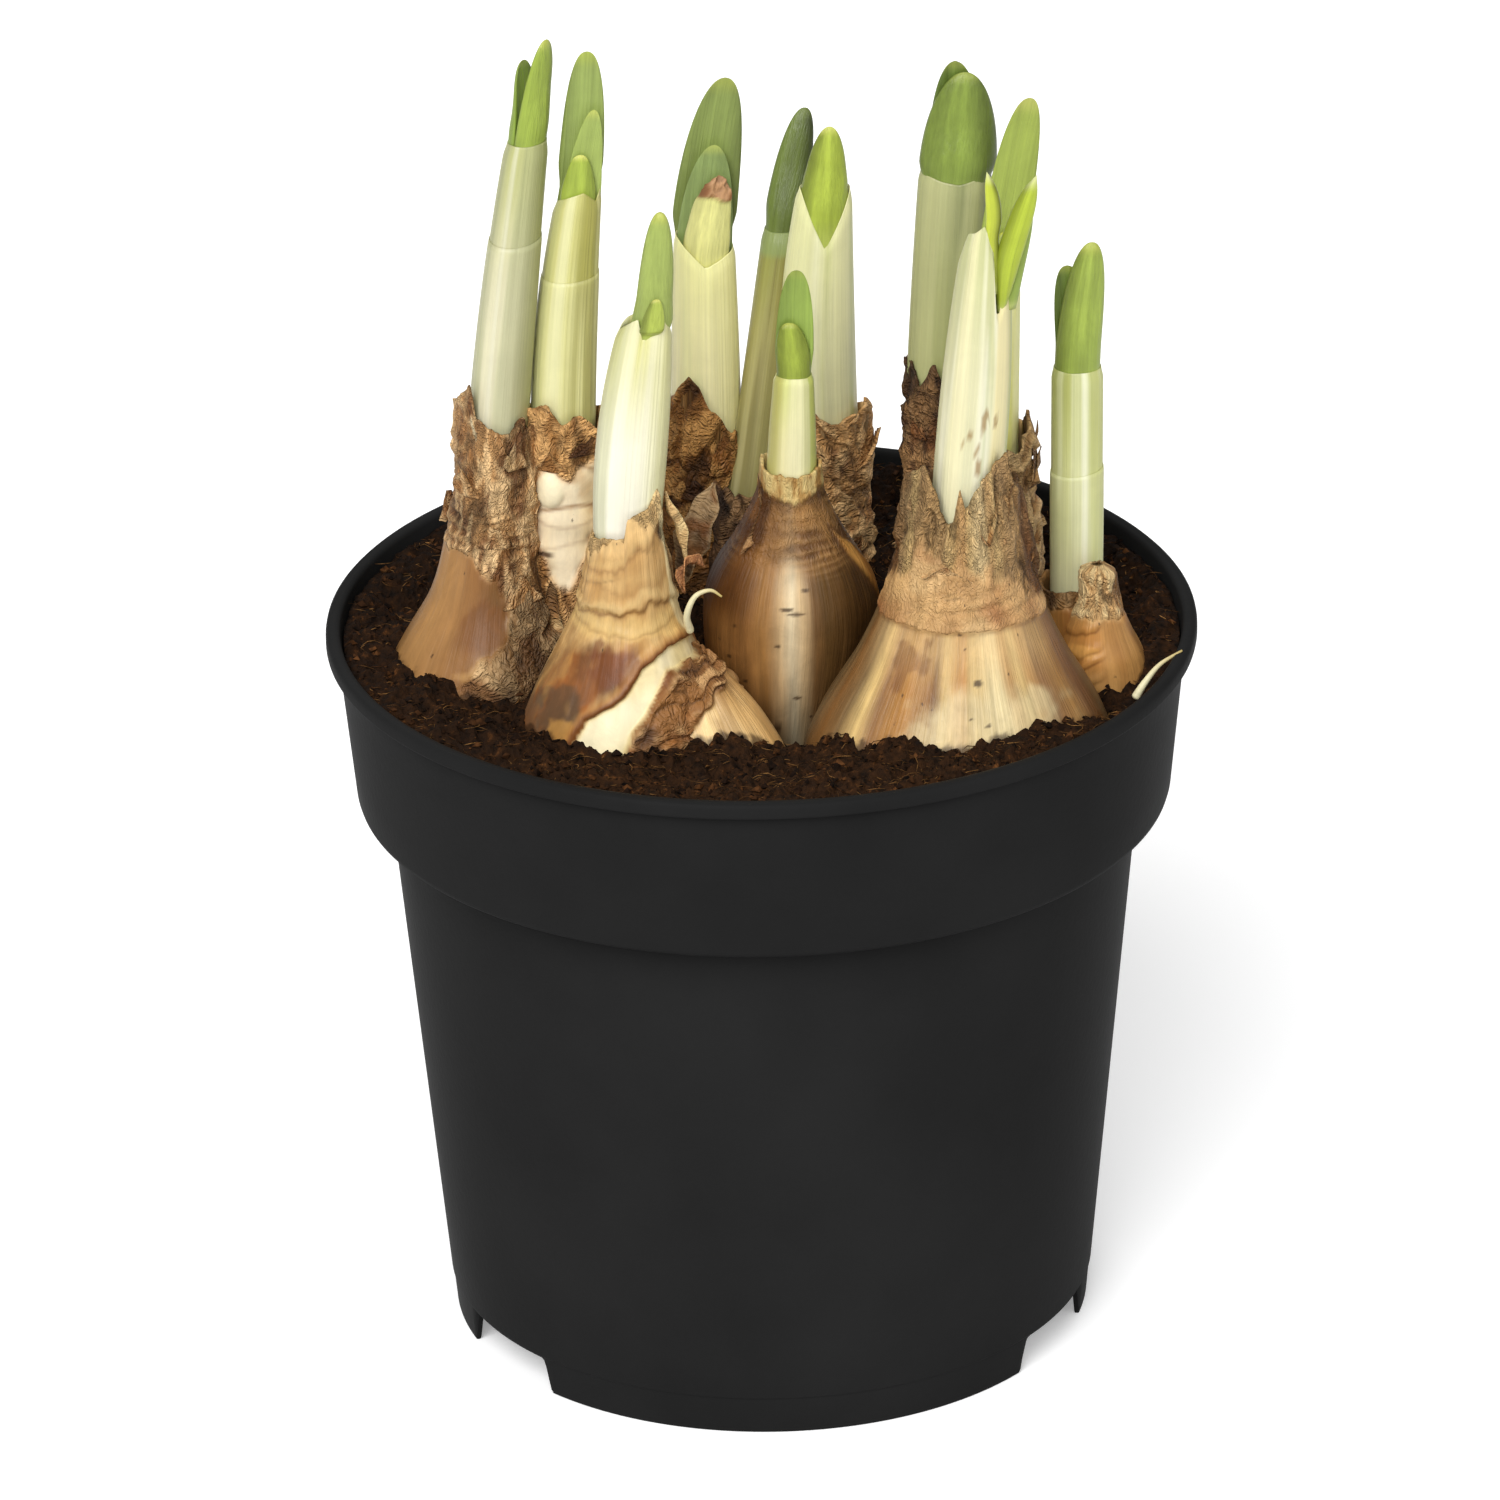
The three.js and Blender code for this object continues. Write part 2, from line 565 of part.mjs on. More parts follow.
// Inside the sheath a leaf fills its share of the fold. Above it, the leaf widens to its own width, leans over and
// narrows to a blunt, rounded tip.
function leafSolid(shoot, leaf) {
  const turn = radians(shoot.turn);
  const sideways = { front: -1, back: 1, core: 0 }[leaf.layer];
  const three = shoot.leaves.some((other) => other.layer === "core");
  const outer = three && sideways;
  const inset = SHEATH_WALL + CLEAR;
  const low = sheathFloor(shoot) + CLEAR;
  const brim = shoot.top[2];
  const open = brim - shoot.notch[1] * 0.5;
  const free = (z) => clamp((z - open) / (leaf.tip - open), 0, 1);
  const heights = [low, lerp(low, open, 0.5), open];
  for (const share of [0.3, 0.6, 0.82, 0.95, 1]) heights.push(lerp(open, leaf.tip, share));
  const rings = heights.map((z) => {
    const room = halfWidth(shoot, z) - inset;
    const depth = halfWidth(shoot, z) * shoot.oval - inset;
    const spread = easeInOut(clamp((z - brim) / 5, 0, 1));
    const round = Math.max((1 - free(z) ** 3.4) ** 0.6, 0.16);
    const wide = lerp(Math.min(room, leaf.half), leaf.half, spread) * round * (outer ? 0.86 : 1);
    const deep = depth * Math.max(round, 0.3) * (outer ? 0.56 : leaf.layer === "core" ? 0.2 : 1);
    const across = leaf.lean[0] * free(z) ** 1.4;
    const apart = sideways * (leaf.lean[1] * free(z) ** 1.4 + (outer ? 0.32 * depth : 0));
    const [x, y] = middleAt(shoot, z);
    return leafSection(leaf.layer, wide, deep).map(([u, w]) => {
      const [a, b] = [u + across, w + apart];
      const [c, d] = [Math.cos(turn), Math.sin(turn)];
      return new THREE.Vector3(x + a * c - b * d, y + a * d + b * c, z);
    });
  });
  return skin(rings);
}

// ---- Soil ----
function soilHeight(x, y) {
  const inward = RIM_RADIUS - LIP_WIDTH - Math.hypot(x, y);
  const dip = SOIL_DIP * easeInOut(clamp(inward / SOIL_DIP_WIDTH, 0, 1));
  const pits = SOIL_PITS.map((pit) => {
    const away = Math.hypot(x - pit.x, y - pit.y) / pit.width;
    return pit.depth * Math.exp(-0.5 * away ** 2);
  });
  const lumps = 0.7 * Math.sin(0.31 * x + 1.3) * Math.cos(0.27 * y) + 0.5 * Math.sin(0.17 * x - 0.23 * y);
  return SOIL_AT_WALL - dip - pits.reduce((sum, pit) => sum + pit) + lumps * clamp(inward / 6, 0, 1);
}

function makeSoil(noses) {
  const floor = FLOOR_Z + WALL + CLEAR;
  const ledge = COLLAR_Z + WALL + CLEAR;
  const gap = WALL + CLEAR;
  const wall = (radius, z) => ringAt(SOIL_SIDES, radius, () => z);
  const surface = (radius) => {
    const height = (angle) => soilHeight(radius * Math.cos(angle), radius * Math.sin(angle));
    return ringAt(SOIL_SIDES, radius, height);
  };
  const soil = skin([
    wall(bodyRadius(floor) - gap, floor),
    wall(bodyRadius(ledge) - gap, ledge),
    wall(collarRadius(ledge) - gap, ledge),
    ...[collarRadius(SOIL_AT_WALL) - gap - CLEAR, 62, 48, 34, 18].map(surface),
  ]);
  return noses.reduce((left, nose) => left.subtract(nosePocket(nose)), soil);
}

// ---- Assembly ----
const group = new THREE.Group();

function place(name, solid, look) {
  const material = new THREE.MeshStandardMaterial({ metalness: 0, ...LOOKS[look] });
  const mesh = new THREE.Mesh(geometryOf(solid), material);
  mesh.name = name;
  group.add(mesh);
}

place("pot", makePot(), "pot");
place("soil", makeSoil(Object.values(CLUMPS).flat()), "soil");

for (const [name, noses] of Object.entries(CLUMPS)) {
  const clump = noses.map(noseSolid).reduce((joined, nose) => joined.add(nose));
  const shoots = Object.values(SHOOTS).filter((shoot) => shoot.clump === name);
  const socket = (shoot) => {
    const reach = CLEAR + (shoot.sleeve ? SLEEVE_REACH : 0);
    return plug(shoot, reach, shoot.foot[2] + SOCKET_DEPTH);
  };
  const bulb = shoots.reduce((left, shoot) => left.subtract(socket(shoot)), clump);
  place(`bulb_${name}`, bulb, "bulb");
}

for (const [name, shoot] of Object.entries(SHOOTS)) {
  place(`sheath_${name}`, sheathSolid(shoot), "sheath");
  if (shoot.sleeve) place(`outer_sheath_${name}`, sleeveSolid(shoot), "sleeve");
  for (const leaf of shoot.leaves) {
    const kind = leaf.bud ? "bud" : "leaf";
    place(`${kind}_${name}_${leaf.layer}`, leafSolid(shoot, leaf), kind);
  }
}

export default group;
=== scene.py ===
# %% [markdown]
# # A pot of paperwhite bulbs, just sprouted
# A nursery pot full of peat holds seven clumps of dry brown bulbs. A pale sheath stands in each neck, with
# thick green leaves folded inside it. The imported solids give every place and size, and this lesson dresses
# them: each shape is a grid of points worked out as whole arrays, and each finish is a small tree of shader
# nodes.

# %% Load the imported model
import math

import bpy
import numpy as np
from mathutils import Matrix


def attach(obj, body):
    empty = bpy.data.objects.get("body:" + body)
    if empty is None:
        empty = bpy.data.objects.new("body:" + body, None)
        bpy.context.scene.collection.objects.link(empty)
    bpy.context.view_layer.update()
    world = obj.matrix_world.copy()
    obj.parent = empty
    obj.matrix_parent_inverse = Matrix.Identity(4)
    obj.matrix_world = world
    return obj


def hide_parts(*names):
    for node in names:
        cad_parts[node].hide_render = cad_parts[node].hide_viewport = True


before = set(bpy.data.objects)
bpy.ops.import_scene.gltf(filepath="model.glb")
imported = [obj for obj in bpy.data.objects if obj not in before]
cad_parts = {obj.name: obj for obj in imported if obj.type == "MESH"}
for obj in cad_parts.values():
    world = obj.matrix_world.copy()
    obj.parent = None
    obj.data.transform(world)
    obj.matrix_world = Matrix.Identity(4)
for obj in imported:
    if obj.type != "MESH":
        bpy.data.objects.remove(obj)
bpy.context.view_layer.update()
MM = 0.001  # shapes are worked out in millimetres and stored in metres

# %% [markdown]
# ## Small maths
# Crumpled paper, soil and ribs all need a wavy field with no visible repeat. A lattice of random values,
# smoothly joined, gives one; adding finer and weaker copies makes it rough at every scale.

# %% Curves and noise
def ease(t):
    """0 below 0, 1 above 1, and 3t^2 - 2t^3 between."""
    t = np.clip(t, 0, 1)
    return t * t * (3 - 2 * t)


def bell(off, width=1.0):
    """e^-(off / width)^2: 1 in the middle and nearly 0 at twice the width."""
    return np.exp(-(off / width) ** 2)


def mix(a, b, share):
    """a where share is 0, b where it is 1. Colours have three numbers in the last place, or are hex codes."""
    a, b = (colour(v) if isinstance(v, str) else v for v in (a, b))
    share = np.asarray(share, float)
    if np.ndim(a) and np.shape(a)[-1:] == (3,) or np.ndim(b) and np.shape(b)[-1:] == (3,):
        share = share[..., None]
    return np.asarray(a) * (1 - share) + np.asarray(b) * share


def along(knots, x):
    """A smooth cubic through knots [x, value]; a knot's slope is that of the line through its neighbours."""
    kx, ky = np.array(knots, float).T
    low, high = np.maximum(np.arange(len(kx)) - 1, 0), np.minimum(np.arange(len(kx)) + 1, len(kx) - 1)
    slope = (ky[high] - ky[low]) / (kx[high] - kx[low])
    i = np.clip(np.searchsorted(kx, x, side="right") - 1, 0, len(kx) - 2)
    step = kx[i + 1] - kx[i]
    t = np.clip((x - kx[i]) / step, 0, 1)
    return (ky[i] * (1 + 2 * t) * (1 - t) ** 2 + ky[i + 1] * t * t * (3 - 2 * t)
            + slope[i] * step * t * (1 - t) ** 2 - slope[i + 1] * step * t * t * (1 - t))


def through(points, count):
    """A smooth path of count points through the given ones."""
    steps = np.linspace(0, len(points) - 1, count)
    return np.stack([along([[i, p[k]] for i, p in enumerate(points)], steps) for k in range(3)], -1)


def full_turn(count):
    """Angles evenly round a circle, in radians."""
    return np.linspace(0, 2 * np.pi, count, endpoint=False)


def turning(knots, angle):
    """A value round a full turn, in straight lines between knots [degrees, value]."""
    degrees, values = np.array(sorted(knots), float).T
    return np.interp(np.degrees(angle), degrees, values, period=360)


def lattice(i, j, k, seed):
    """A fixed random number from 0 to 1 for each whole-numbered place."""
    n = (i * 73856093) ^ (j * 19349663) ^ (k * 83492791) ^ (seed * 2654435761)
    n = ((n ^ (n >> 13)) * 1274126177) & 0xFFFFFFFF
    return ((n ^ (n >> 16)) & 0xFFFF) / 65535


def noise(points, size, seed=0):
    """From -1 to 1: the lattice's values, smoothly joined over cells of the given size."""
    q = np.asarray(points, float) / size + 100
    cell = np.floor(q).astype(np.int64)
    f = q - cell
    f = f * f * (3 - 2 * f)
    total = 0
    for di in (0, 1):
        for dj in (0, 1):
            for dk in (0, 1):
                weight = (np.where(di, f[..., 0], 1 - f[..., 0]) * np.where(dj, f[..., 1], 1 - f[..., 1])
                          * np.where(dk, f[..., 2], 1 - f[..., 2]))
                total = total + weight * lattice(cell[..., 0] + di, cell[..., 1] + dj, cell[..., 2] + dk,
                                                 seed)
    return 2 * total - 1


TWIST = np.array([[0.64, 0.60, -0.48], [-0.77, 0.48, -0.42], [-0.02, 0.64, 0.77]])  # very nearly a rotation


def rough(points, size, octaves, seed=0, fade=0.5, bend=np.asarray):
    """Noise at size, size / 2, size / 4 ..., each turned, weaker by fade and passed through bend."""
    points, total = np.asarray(points, float), 0
    for n in range(octaves):
        points = points @ TWIST
        total = total + fade ** n * bend(noise(points, size / 2 ** n, seed + n))
    return total / sum(fade ** n for n in range(octaves))


def xyz(*parts):
    """Arrays x, y, z as one array of points."""
    return np.stack(np.broadcast_arrays(*parts), -1)


def wrapped(angle, height, girth=6):
    """Points round an upright cylinder, for noise that closes on itself."""
    return xyz(girth * np.cos(angle), girth * np.sin(angle), height)


def colour(code):
    """An sRGB hex code as a linear colour."""
    value = np.array([int(code[i:i + 2], 16) for i in (1, 3, 5)]) / 255
    return np.where(value <= 0.04045, value / 12.92, ((value + 0.055) / 1.055) ** 2.4)


# %% [markdown]
# ## From grids to meshes
# A grid of points, rings by columns, becomes a closed skin: quads between neighbouring rings and a fan at
# each end. A thin sheet is a grid with a copy set behind it and a strip round its edge. Both keep what was
# worked out at each point, such as a tint, as an attribute that the materials read.

# %% Skins, hoops and sheets
def grid_faces(at):
    """The quads of a grid of point numbers."""
    return np.stack([at[:-1, :-1], at[:-1, 1:], at[1:, 1:], at[1:, :-1]], -1).reshape(-1, 4)


def shell(points, quads, tris, data):
    """One closed surface: points in millimetres, faces as point numbers, and values at each point."""
    return {"points": points, "quads": quads, "tris": tris, "data": data}


def skin(rings, data, hoop=False):
    """Rings of equal count, anticlockwise from above on the way up. A hoop joins its last to its first."""
    rows, columns = rings.shape[:2]
    at = np.arange(rows * columns).reshape(rows, columns)
    side = np.roll(at, -1, axis=1)
    if hoop:
        above, beside = np.roll(at, -1, axis=0), np.roll(side, -1, axis=0)
        quads = np.stack([at, side, beside, above], -1).reshape(-1, 4)
        return shell(rings.reshape(-1, 3), quads, np.zeros((0, 3), int),
                     {n: v.reshape(rows * columns, -1) for n, v in data.items()})
    quads = np.stack([at[:-1], side[:-1], side[1:], at[1:]], -1).reshape(-1, 4)
    low, high = np.full(columns, rows * columns), np.full(columns, rows * columns + 1)
    tris = np.concatenate([np.stack([low, side[0], at[0]], -1), np.stack([high, at[-1], side[-1]], -1)])
    ends = lambda v: np.concatenate([v.reshape(rows * columns, -1), v[:1].reshape(1, columns, -1).mean(1),
                                     v[-1:].reshape(1, columns, -1).mean(1)])
    return shell(ends(rings), quads, tris, {n: ends(v) for n, v in data.items()})


def worn(tint, fibre, crease=0.0, dry=0.0, lined=1.0):
    """What the finish of a plant reads at each point; a plain number is the same at all of them."""
    spread = 0 * fibre[..., 0]
    return {"tint": tint, "crease": crease + spread, "dry": dry + spread, "lined": lined + spread,
            "fibre": fibre}


def held(rows, count):
    """The rows with the last one repeated count times."""
    return np.concatenate([rows] + [rows[-1:]] * count)


# %% Sheets and tubes
def sheet(middle, thickness, data):
    """A thin closed sheet either side of a grid of points, with its front towards columns x rows."""
    rows, columns = middle.shape[:2]
    normal = np.cross(np.gradient(middle, axis=1), np.gradient(middle, axis=0))
    normal /= np.maximum(np.linalg.norm(normal, axis=-1, keepdims=True), 1e-9)
    half = 0.5 * np.broadcast_to(thickness, (rows, columns))[..., None]
    at = np.arange(rows * columns).reshape(rows, columns)
    front = grid_faces(at)
    edge = np.concatenate([at[0], at[1:, -1], at[-1, -2::-1], at[-2:0:-1, 0]])
    on, far = np.roll(edge, -1), rows * columns
    strip = np.stack([on, edge, edge + far, on + far], -1)
    points = np.concatenate([(middle + normal * half).reshape(-1, 3),
                             (middle - normal * half).reshape(-1, 3)])
    both = {n: np.tile(v.reshape(rows * columns, -1), (2, 1)) for n, v in data.items()}
    return shell(points, np.concatenate([front, front[:, ::-1] + far, strip]), np.zeros((0, 3), int), both)


def tube(path, radii, sides, data=None):
    """A tube along a path: a ring about each point, square to the way the path runs there."""
    path = np.asarray(path, float)
    ahead = np.gradient(path, axis=0)
    ahead /= np.linalg.norm(ahead, axis=1, keepdims=True)
    across = np.cross(ahead, [0.31, 0.83, 0.46])
    across /= np.linalg.norm(across, axis=1, keepdims=True)
    other = np.cross(ahead, across)
    a = full_turn(sides)
    rings = path[:, None] + np.asarray(radii)[:, None, None] * (
        across[:, None] * np.cos(a)[:, None] + other[:, None] * np.sin(a)[:, None])
    wide = {n: np.broadcast_to(np.asarray(v)[:, None], (len(path), sides) + np.shape(v)[1:])
            for n, v in (data or {}).items()}
    return skin(rings, wide)


# %% Into the scene
def put(name, data):
    """A new object in the scene."""
    made = bpy.data.objects.new(name, data)
    bpy.context.scene.collection.objects.link(made)
    return made


def piece(name, shells, material, nodes=(), smooth=True):
    """Joins shells into one object that rides on the body, has the material and stands for the CAD nodes."""
    starts = np.cumsum([0] + [len(s["points"]) for s in shells])
    points = np.concatenate([s["points"] for s in shells]) * MM
    quads = np.concatenate([s["quads"] + n for s, n in zip(shells, starts)])
    tris = np.concatenate([s["tris"] + n for s, n in zip(shells, starts)])
    mesh = bpy.data.meshes.new(name)
    mesh.vertices.add(len(points))
    mesh.vertices.foreach_set("co", points.astype(np.float32).ravel())
    mesh.loops.add(quads.size + tris.size)
    mesh.loops.foreach_set("vertex_index", np.concatenate([quads.ravel(), tris.ravel()]).astype(np.int32))
    totals = np.concatenate([np.full(len(quads), 4), np.full(len(tris), 3)])
    mesh.polygons.add(len(totals))
    mesh.polygons.foreach_set("loop_start", (np.cumsum(totals) - totals).astype(np.int32))
    mesh.polygons.foreach_set("loop_total", totals.astype(np.int32))
    mesh.polygons.foreach_set("use_smooth", np.full(len(totals), smooth))
    mesh.update(calc_edges=True)
    for key in shells[0]["data"]:
        values = np.concatenate([s["data"][key] for s in shells]).astype(np.float32)
        kind = "FLOAT" if values.shape[1] == 1 else "FLOAT_VECTOR"
        attribute = mesh.attributes.new(key, kind, "POINT")
        attribute.data.foreach_set("value" if kind == "FLOAT" else "vector", values.ravel())
    mesh.materials.append(material)
    made = put(name, mesh)
    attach(made, "root")
    if nodes:
        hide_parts(*nodes)
    print(f"{name}: {2 * len(quads) + len(tris)} triangles")
    return made


# %% [markdown]
# ## Finishes
# A material is a tree of nodes. The helper below adds one node and joins or sets its inputs in the same
# line, so a tree reads from the pattern to the shader. Four effects become groups of their own: streaks that
# run along a plant's fibres, dark specks, soft blotches and crinkled paper.

# %% Node helpers
def node(tree, kind, inputs=None, **settings):
    """Adds one shader node; an input is a number, a colour or another node's output."""
    made = tree.nodes.new("ShaderNode" + kind)
    for key, value in settings.items():
        setattr(made, key, value)
    for key, value in (inputs or {}).items():
        socket = made.inputs[key]
        if isinstance(value, bpy.types.NodeSocket):
            tree.links.new(value, socket)
        else:
            if socket.type == "RGBA" and len(value) == 3:
                value = (*value, 1)
            socket.default_value = value
    return made


def sums(tree, operation, *values):
    """One step of arithmetic on numbers or sockets."""
    return node(tree, "Math", dict(enumerate(values)), operation=operation).outputs[0]


def times(tree, a, b):
    """a times b."""
    return sums(tree, "MULTIPLY", a, b)


def cloud(tree, place, scale, detail, **more):
    """Soft noise from 0 to 1."""
    return node(tree, "TexNoise", {"Vector": place, "Scale": scale, "Detail": detail, **more}).outputs[0]


def grey(tree, value):
    """A number as a colour, to multiply another with."""
    return node(tree, "CombineColor", {0: value, 1: value, 2: value}).outputs[0]


def between(tree, value, low, high, to_low=0.0, to_high=1.0):
    """The value stretched from low..high to to_low..to_high, and held at the ends."""
    return node(tree, "MapRange", {"Value": value, "From Min": low, "From Max": high, "To Min": to_low,
                                   "To Max": to_high}).outputs[0]


def stir(tree, share, a, b, blend="MIX"):
    """Colour a where share is 0 and b where it is 1, in the given blend."""
    made = tree.nodes.new("ShaderNodeMix")
    made.data_type, made.blend_type, made.clamp_factor = "RGBA", blend, True
    for socket, value in zip((made.inputs[0], made.inputs[6], made.inputs[7]), (share, a, b)):
        if isinstance(value, bpy.types.NodeSocket):
            tree.links.new(value, socket)
        else:
            socket.default_value = value if socket.type == "VALUE" else (*value, 1)
    return made.outputs[2]


# %% Groups and materials
def group(name, takes, gives):
    """An empty node group with the named inputs (name: kind or default number) and outputs."""
    tree = bpy.data.node_groups.new(name, "ShaderNodeTree")
    for key, value in takes.items():
        kind = value if isinstance(value, str) else "Float"
        made = tree.interface.new_socket(key, in_out="INPUT", socket_type="NodeSocket" + kind)
        if kind == "Float":
            made.default_value = value
    for key, kind in gives.items():
        tree.interface.new_socket(key, in_out="OUTPUT", socket_type="NodeSocket" + kind)
    return tree, tree.nodes.new("NodeGroupInput").outputs, tree.nodes.new("NodeGroupOutput").inputs


def use(tree, of, **values):
    """Places a node group in a material with its own values."""
    made = tree.nodes.new("ShaderNodeGroup")
    made.node_tree = of
    for key, value in values.items():
        socket = made.inputs[key.replace("_", " ")]
        if isinstance(value, bpy.types.NodeSocket):
            tree.links.new(value, socket)
        else:
            socket.default_value = value
    return made.outputs


def finish(name, **plain):
    """A new material with plain values on its shader. Gives material, tree and the shader's inputs."""
    material = bpy.data.materials.new(name)
    material.use_nodes = True
    shader = material.node_tree.nodes["Principled BSDF"]
    for key, value in plain.items():
        shader.inputs[key.replace("_", " ")].default_value = value
    return material, material.node_tree, shader.inputs


def attribute(tree, name):
    """The outputs that read a value stored at each point of the mesh."""
    return node(tree, "Attribute", attribute_name=name, attribute_type="GEOMETRY").outputs


def bump(tree, height, distance):
    """A normal tilted by the slope of height, whose 1 is distance metres."""
    return node(tree, "Bump", {"Height": height, "Distance": distance}).outputs[0]


# %% Shared effects
STREAKS, take, give = group("fibre streaks", {"Fibre": "Vector", "Fineness": 1.6, "Length": 0.06},
                            {"Streak": "Float", "Broad": "Float"})
stretch = node(STREAKS, "CombineXYZ", {"X": take["Fineness"], "Y": take["Fineness"],
                                       "Z": take["Length"]}).outputs[0]
place = node(STREAKS, "VectorMath", {0: take["Fibre"], 1: stretch}, operation="MULTIPLY").outputs[0]
fine = cloud(STREAKS, place, 1.0, 3.0, Roughness=0.6)
wide = cloud(STREAKS, place, 0.3, 2.0, Roughness=0.5)
STREAKS.links.new(between(STREAKS, fine, 0.3, 0.7), give["Streak"])
STREAKS.links.new(between(STREAKS, wide, 0.35, 0.65), give["Broad"])

SPECKS, take, give = group("dark specks", {"Place": "Vector", "Size": 1.0, "Share": 0.1}, {"Mask": "Float"})
cells = node(SPECKS, "TexVoronoi", {"Vector": take["Place"], "Scale": take["Size"], "Randomness": 1.0})
spot = cloud(SPECKS, take["Place"], 2.6, 2.0)
picked = node(SPECKS, "SeparateColor", {0: cells.outputs["Color"]}).outputs[0]
near = sums(SPECKS, "ADD", cells.outputs["Distance"], times(SPECKS, spot, 0.35))
dot = between(SPECKS, near, 0.22, 0.34, 1.0, 0.0)
SPECKS.links.new(times(SPECKS, dot, sums(SPECKS, "LESS_THAN", picked, take["Share"])), give["Mask"])

BLOTCHES, take, give = group("soft blotches", {"Place": "Vector", "Size": 0.12}, {"Value": "Float"})
patch = cloud(BLOTCHES, take["Place"], take["Size"], 5.0, Roughness=0.62, Distortion=0.6)
BLOTCHES.links.new(between(BLOTCHES, patch, 0.3, 0.7), give["Value"])

CRINKLE, take, give = group("crinkled paper", {"Place": "Vector", "Size": 0.25},
                            {"Valley": "Float", "Height": "Float"})
drift = node(CRINKLE, "TexNoise", {"Vector": take["Place"], "Scale": 0.16, "Detail": 2.0}).outputs[1]
drift = node(CRINKLE, "VectorMath", {0: drift, 1: (7.0, 7.0, 7.0)}, operation="MULTIPLY").outputs[0]
moved = node(CRINKLE, "VectorMath", {0: take["Place"], 1: drift}, operation="ADD").outputs[0]
flat = node(CRINKLE, "VectorMath", {0: moved, 1: (0.8, 0.8, 1.5)}, operation="MULTIPLY").outputs[0]
ridged = cloud(CRINKLE, flat, take["Size"], 3.0, Roughness=0.5)
sharp = sums(CRINKLE, "ABSOLUTE", sums(CRINKLE, "SUBTRACT", ridged, 0.5))
facets = node(CRINKLE, "TexVoronoi", {"Vector": flat, "Scale": times(CRINKLE, take["Size"], 1.6)},
              feature="DISTANCE_TO_EDGE").outputs["Distance"]
CRINKLE.links.new(between(CRINKLE, sharp, 0.0, 0.022, 1.0, 0.0), give["Valley"])
raised = sums(CRINKLE, "ADD", between(CRINKLE, sharp, 0.0, 0.12),
              between(CRINKLE, facets, 0.0, 0.35, 0.0, 0.7))
CRINKLE.links.new(raised, give["Height"])


# %% [markdown]
# ## The skin of the bulbs
# A bulb wears dry papery layers called tunics: glossy and streaked over the belly, crumpled and dull at the
# neck. The broad colours are worked out with the shape, as the attribute "tint", because they follow the
# bulb's own folds; the tint also carries painted highlights on ridges and crests and painted shade in valleys
# and on the sides turned from the light. The shader adds what is finer than the mesh: fibres, specks,
# crinkles and the painted shadow in each crease.

# %% Materials of the plants
def plant_finish(name, fineness, length, streak, blotch, fibres, crinkles, specks, gloss, creased, **plain):
    """Tint, darker and lighter along the fibres, with specks, painted shade in creases and crinkles, and a
    fine relief in millimetres.
    """
    material, tree, sockets = finish(name, **plain)
    fibre, tint = attribute(tree, "fibre")["Vector"], attribute(tree, "tint")["Vector"]
    crease, dry, lined = (attribute(tree, key)["Fac"] for key in ("crease", "dry", "lined"))
    lines = use(tree, STREAKS, Fibre=fibre, Fineness=fineness, Length=length)
    clouds = use(tree, BLOTCHES, Place=fibre, Size=0.14)["Value"]
    stripe = sums(tree, "ADD", times(tree, lines["Streak"], 0.6), times(tree, lines["Broad"], 0.4))
    stripe = times(tree, sums(tree, "SUBTRACT", stripe, 0.55), lined)
    shade = sums(tree, "MULTIPLY_ADD", stripe, 2 * streak, 1.0)
    shade = times(tree, shade, between(tree, clouds, 0, 1, 1 - blotch, 1 + 0.5 * blotch))
    # painted shade in folds and creases, from the crease attribute
    shade = times(tree, shade, between(tree, crease, 0, 1, 1.0, 1 - creased))
    height = sums(tree, "ADD", times(tree, times(tree, lines["Streak"], lined), fibres),
                  times(tree, clouds, 0.5 * fibres))
    if crinkles:
        paper, torn = use(tree, CRINKLE, Place=fibre, Size=0.55), between(tree, dry, 0.45, 0.95)
        valley = times(tree, paper["Valley"], torn)
        # painted shade in the valleys of the crinkles
        shade = times(tree, shade, between(tree, valley, 0, 1, 1.0, 0.78))
        height = sums(tree, "ADD", height, times(tree, times(tree, paper["Height"], torn), crinkles))
    base = stir(tree, 1.0, tint, grey(tree, shade), "MULTIPLY")
    if specks:
        mask = use(tree, SPECKS, Place=fibre, Size=0.42, Share=specks)["Mask"]
        base = stir(tree, times(tree, mask, 0.75), base, colour("#2b1a10"))
    tree.links.new(base, sockets["Base Color"])
    tree.links.new(between(tree, dry, 0, 1, gloss, 0.62), sockets["Roughness"])
    tree.links.new(bump(tree, height, 0.001), sockets["Normal"])
    return material


TUNIC = plant_finish("dry bulb skin", 1.5, 0.1, 0.24, 0.2, 0.12, 0.42, 0.06, 0.38, 0.5,
                     Specular_IOR_Level=0.32)
SHEATH = plant_finish("pale sheath", 2.2, 0.03, 0.08, 0.05, 0.06, 0, 0, 0.36, 0.3, Specular_IOR_Level=0.4)
LEAF = plant_finish("green leaf", 2.4, 0.025, 0.16, 0.1, 0.08, 0, 0, 0.34, 0.3, Specular_IOR_Level=0.35)
ROOT = plant_finish("pale root", 1.5, 0.2, 0.1, 0.1, 0.05, 0, 0, 0.5, 0.3)

# %% [markdown]
# ## The pot
# The pot is thin black plastic, turned in a mould: a straight body, a collar with a ledge under it, a
# rounded lip and three low notches in the foot. A lathe of its profile fits, with the foot ring lifted where
# a notch is; the round drainage holes are cut afterwards, because a lathe has no place for them.

# %% Pot shape
POT_HEIGHT, RIM, WALL, FOOT = 129.3, 75.0, 1.1, 55.7
SHOULDER, COLLAR_Z, COLLAR, COLLAR_TOP, LIP_HEIGHT, LIP_WIDTH = 64.9, 98.3, 70.6, 73.1, 2.8, 2.5
FOOT_BAND, FLOOR_Z = 6.8, 8.0
NOTCH_HEIGHT, NOTCH_LOW, NOTCH_HIGH = 6.4, 12.5, 10.0  # and its half-widths, low and high
NOTCH_ANGLES = (-26.8, -146.5, 93.4)
POT_COLUMNS = 200
DRAIN_RADIUS, DRAIN_CIRCLE = 4.5, 34.0


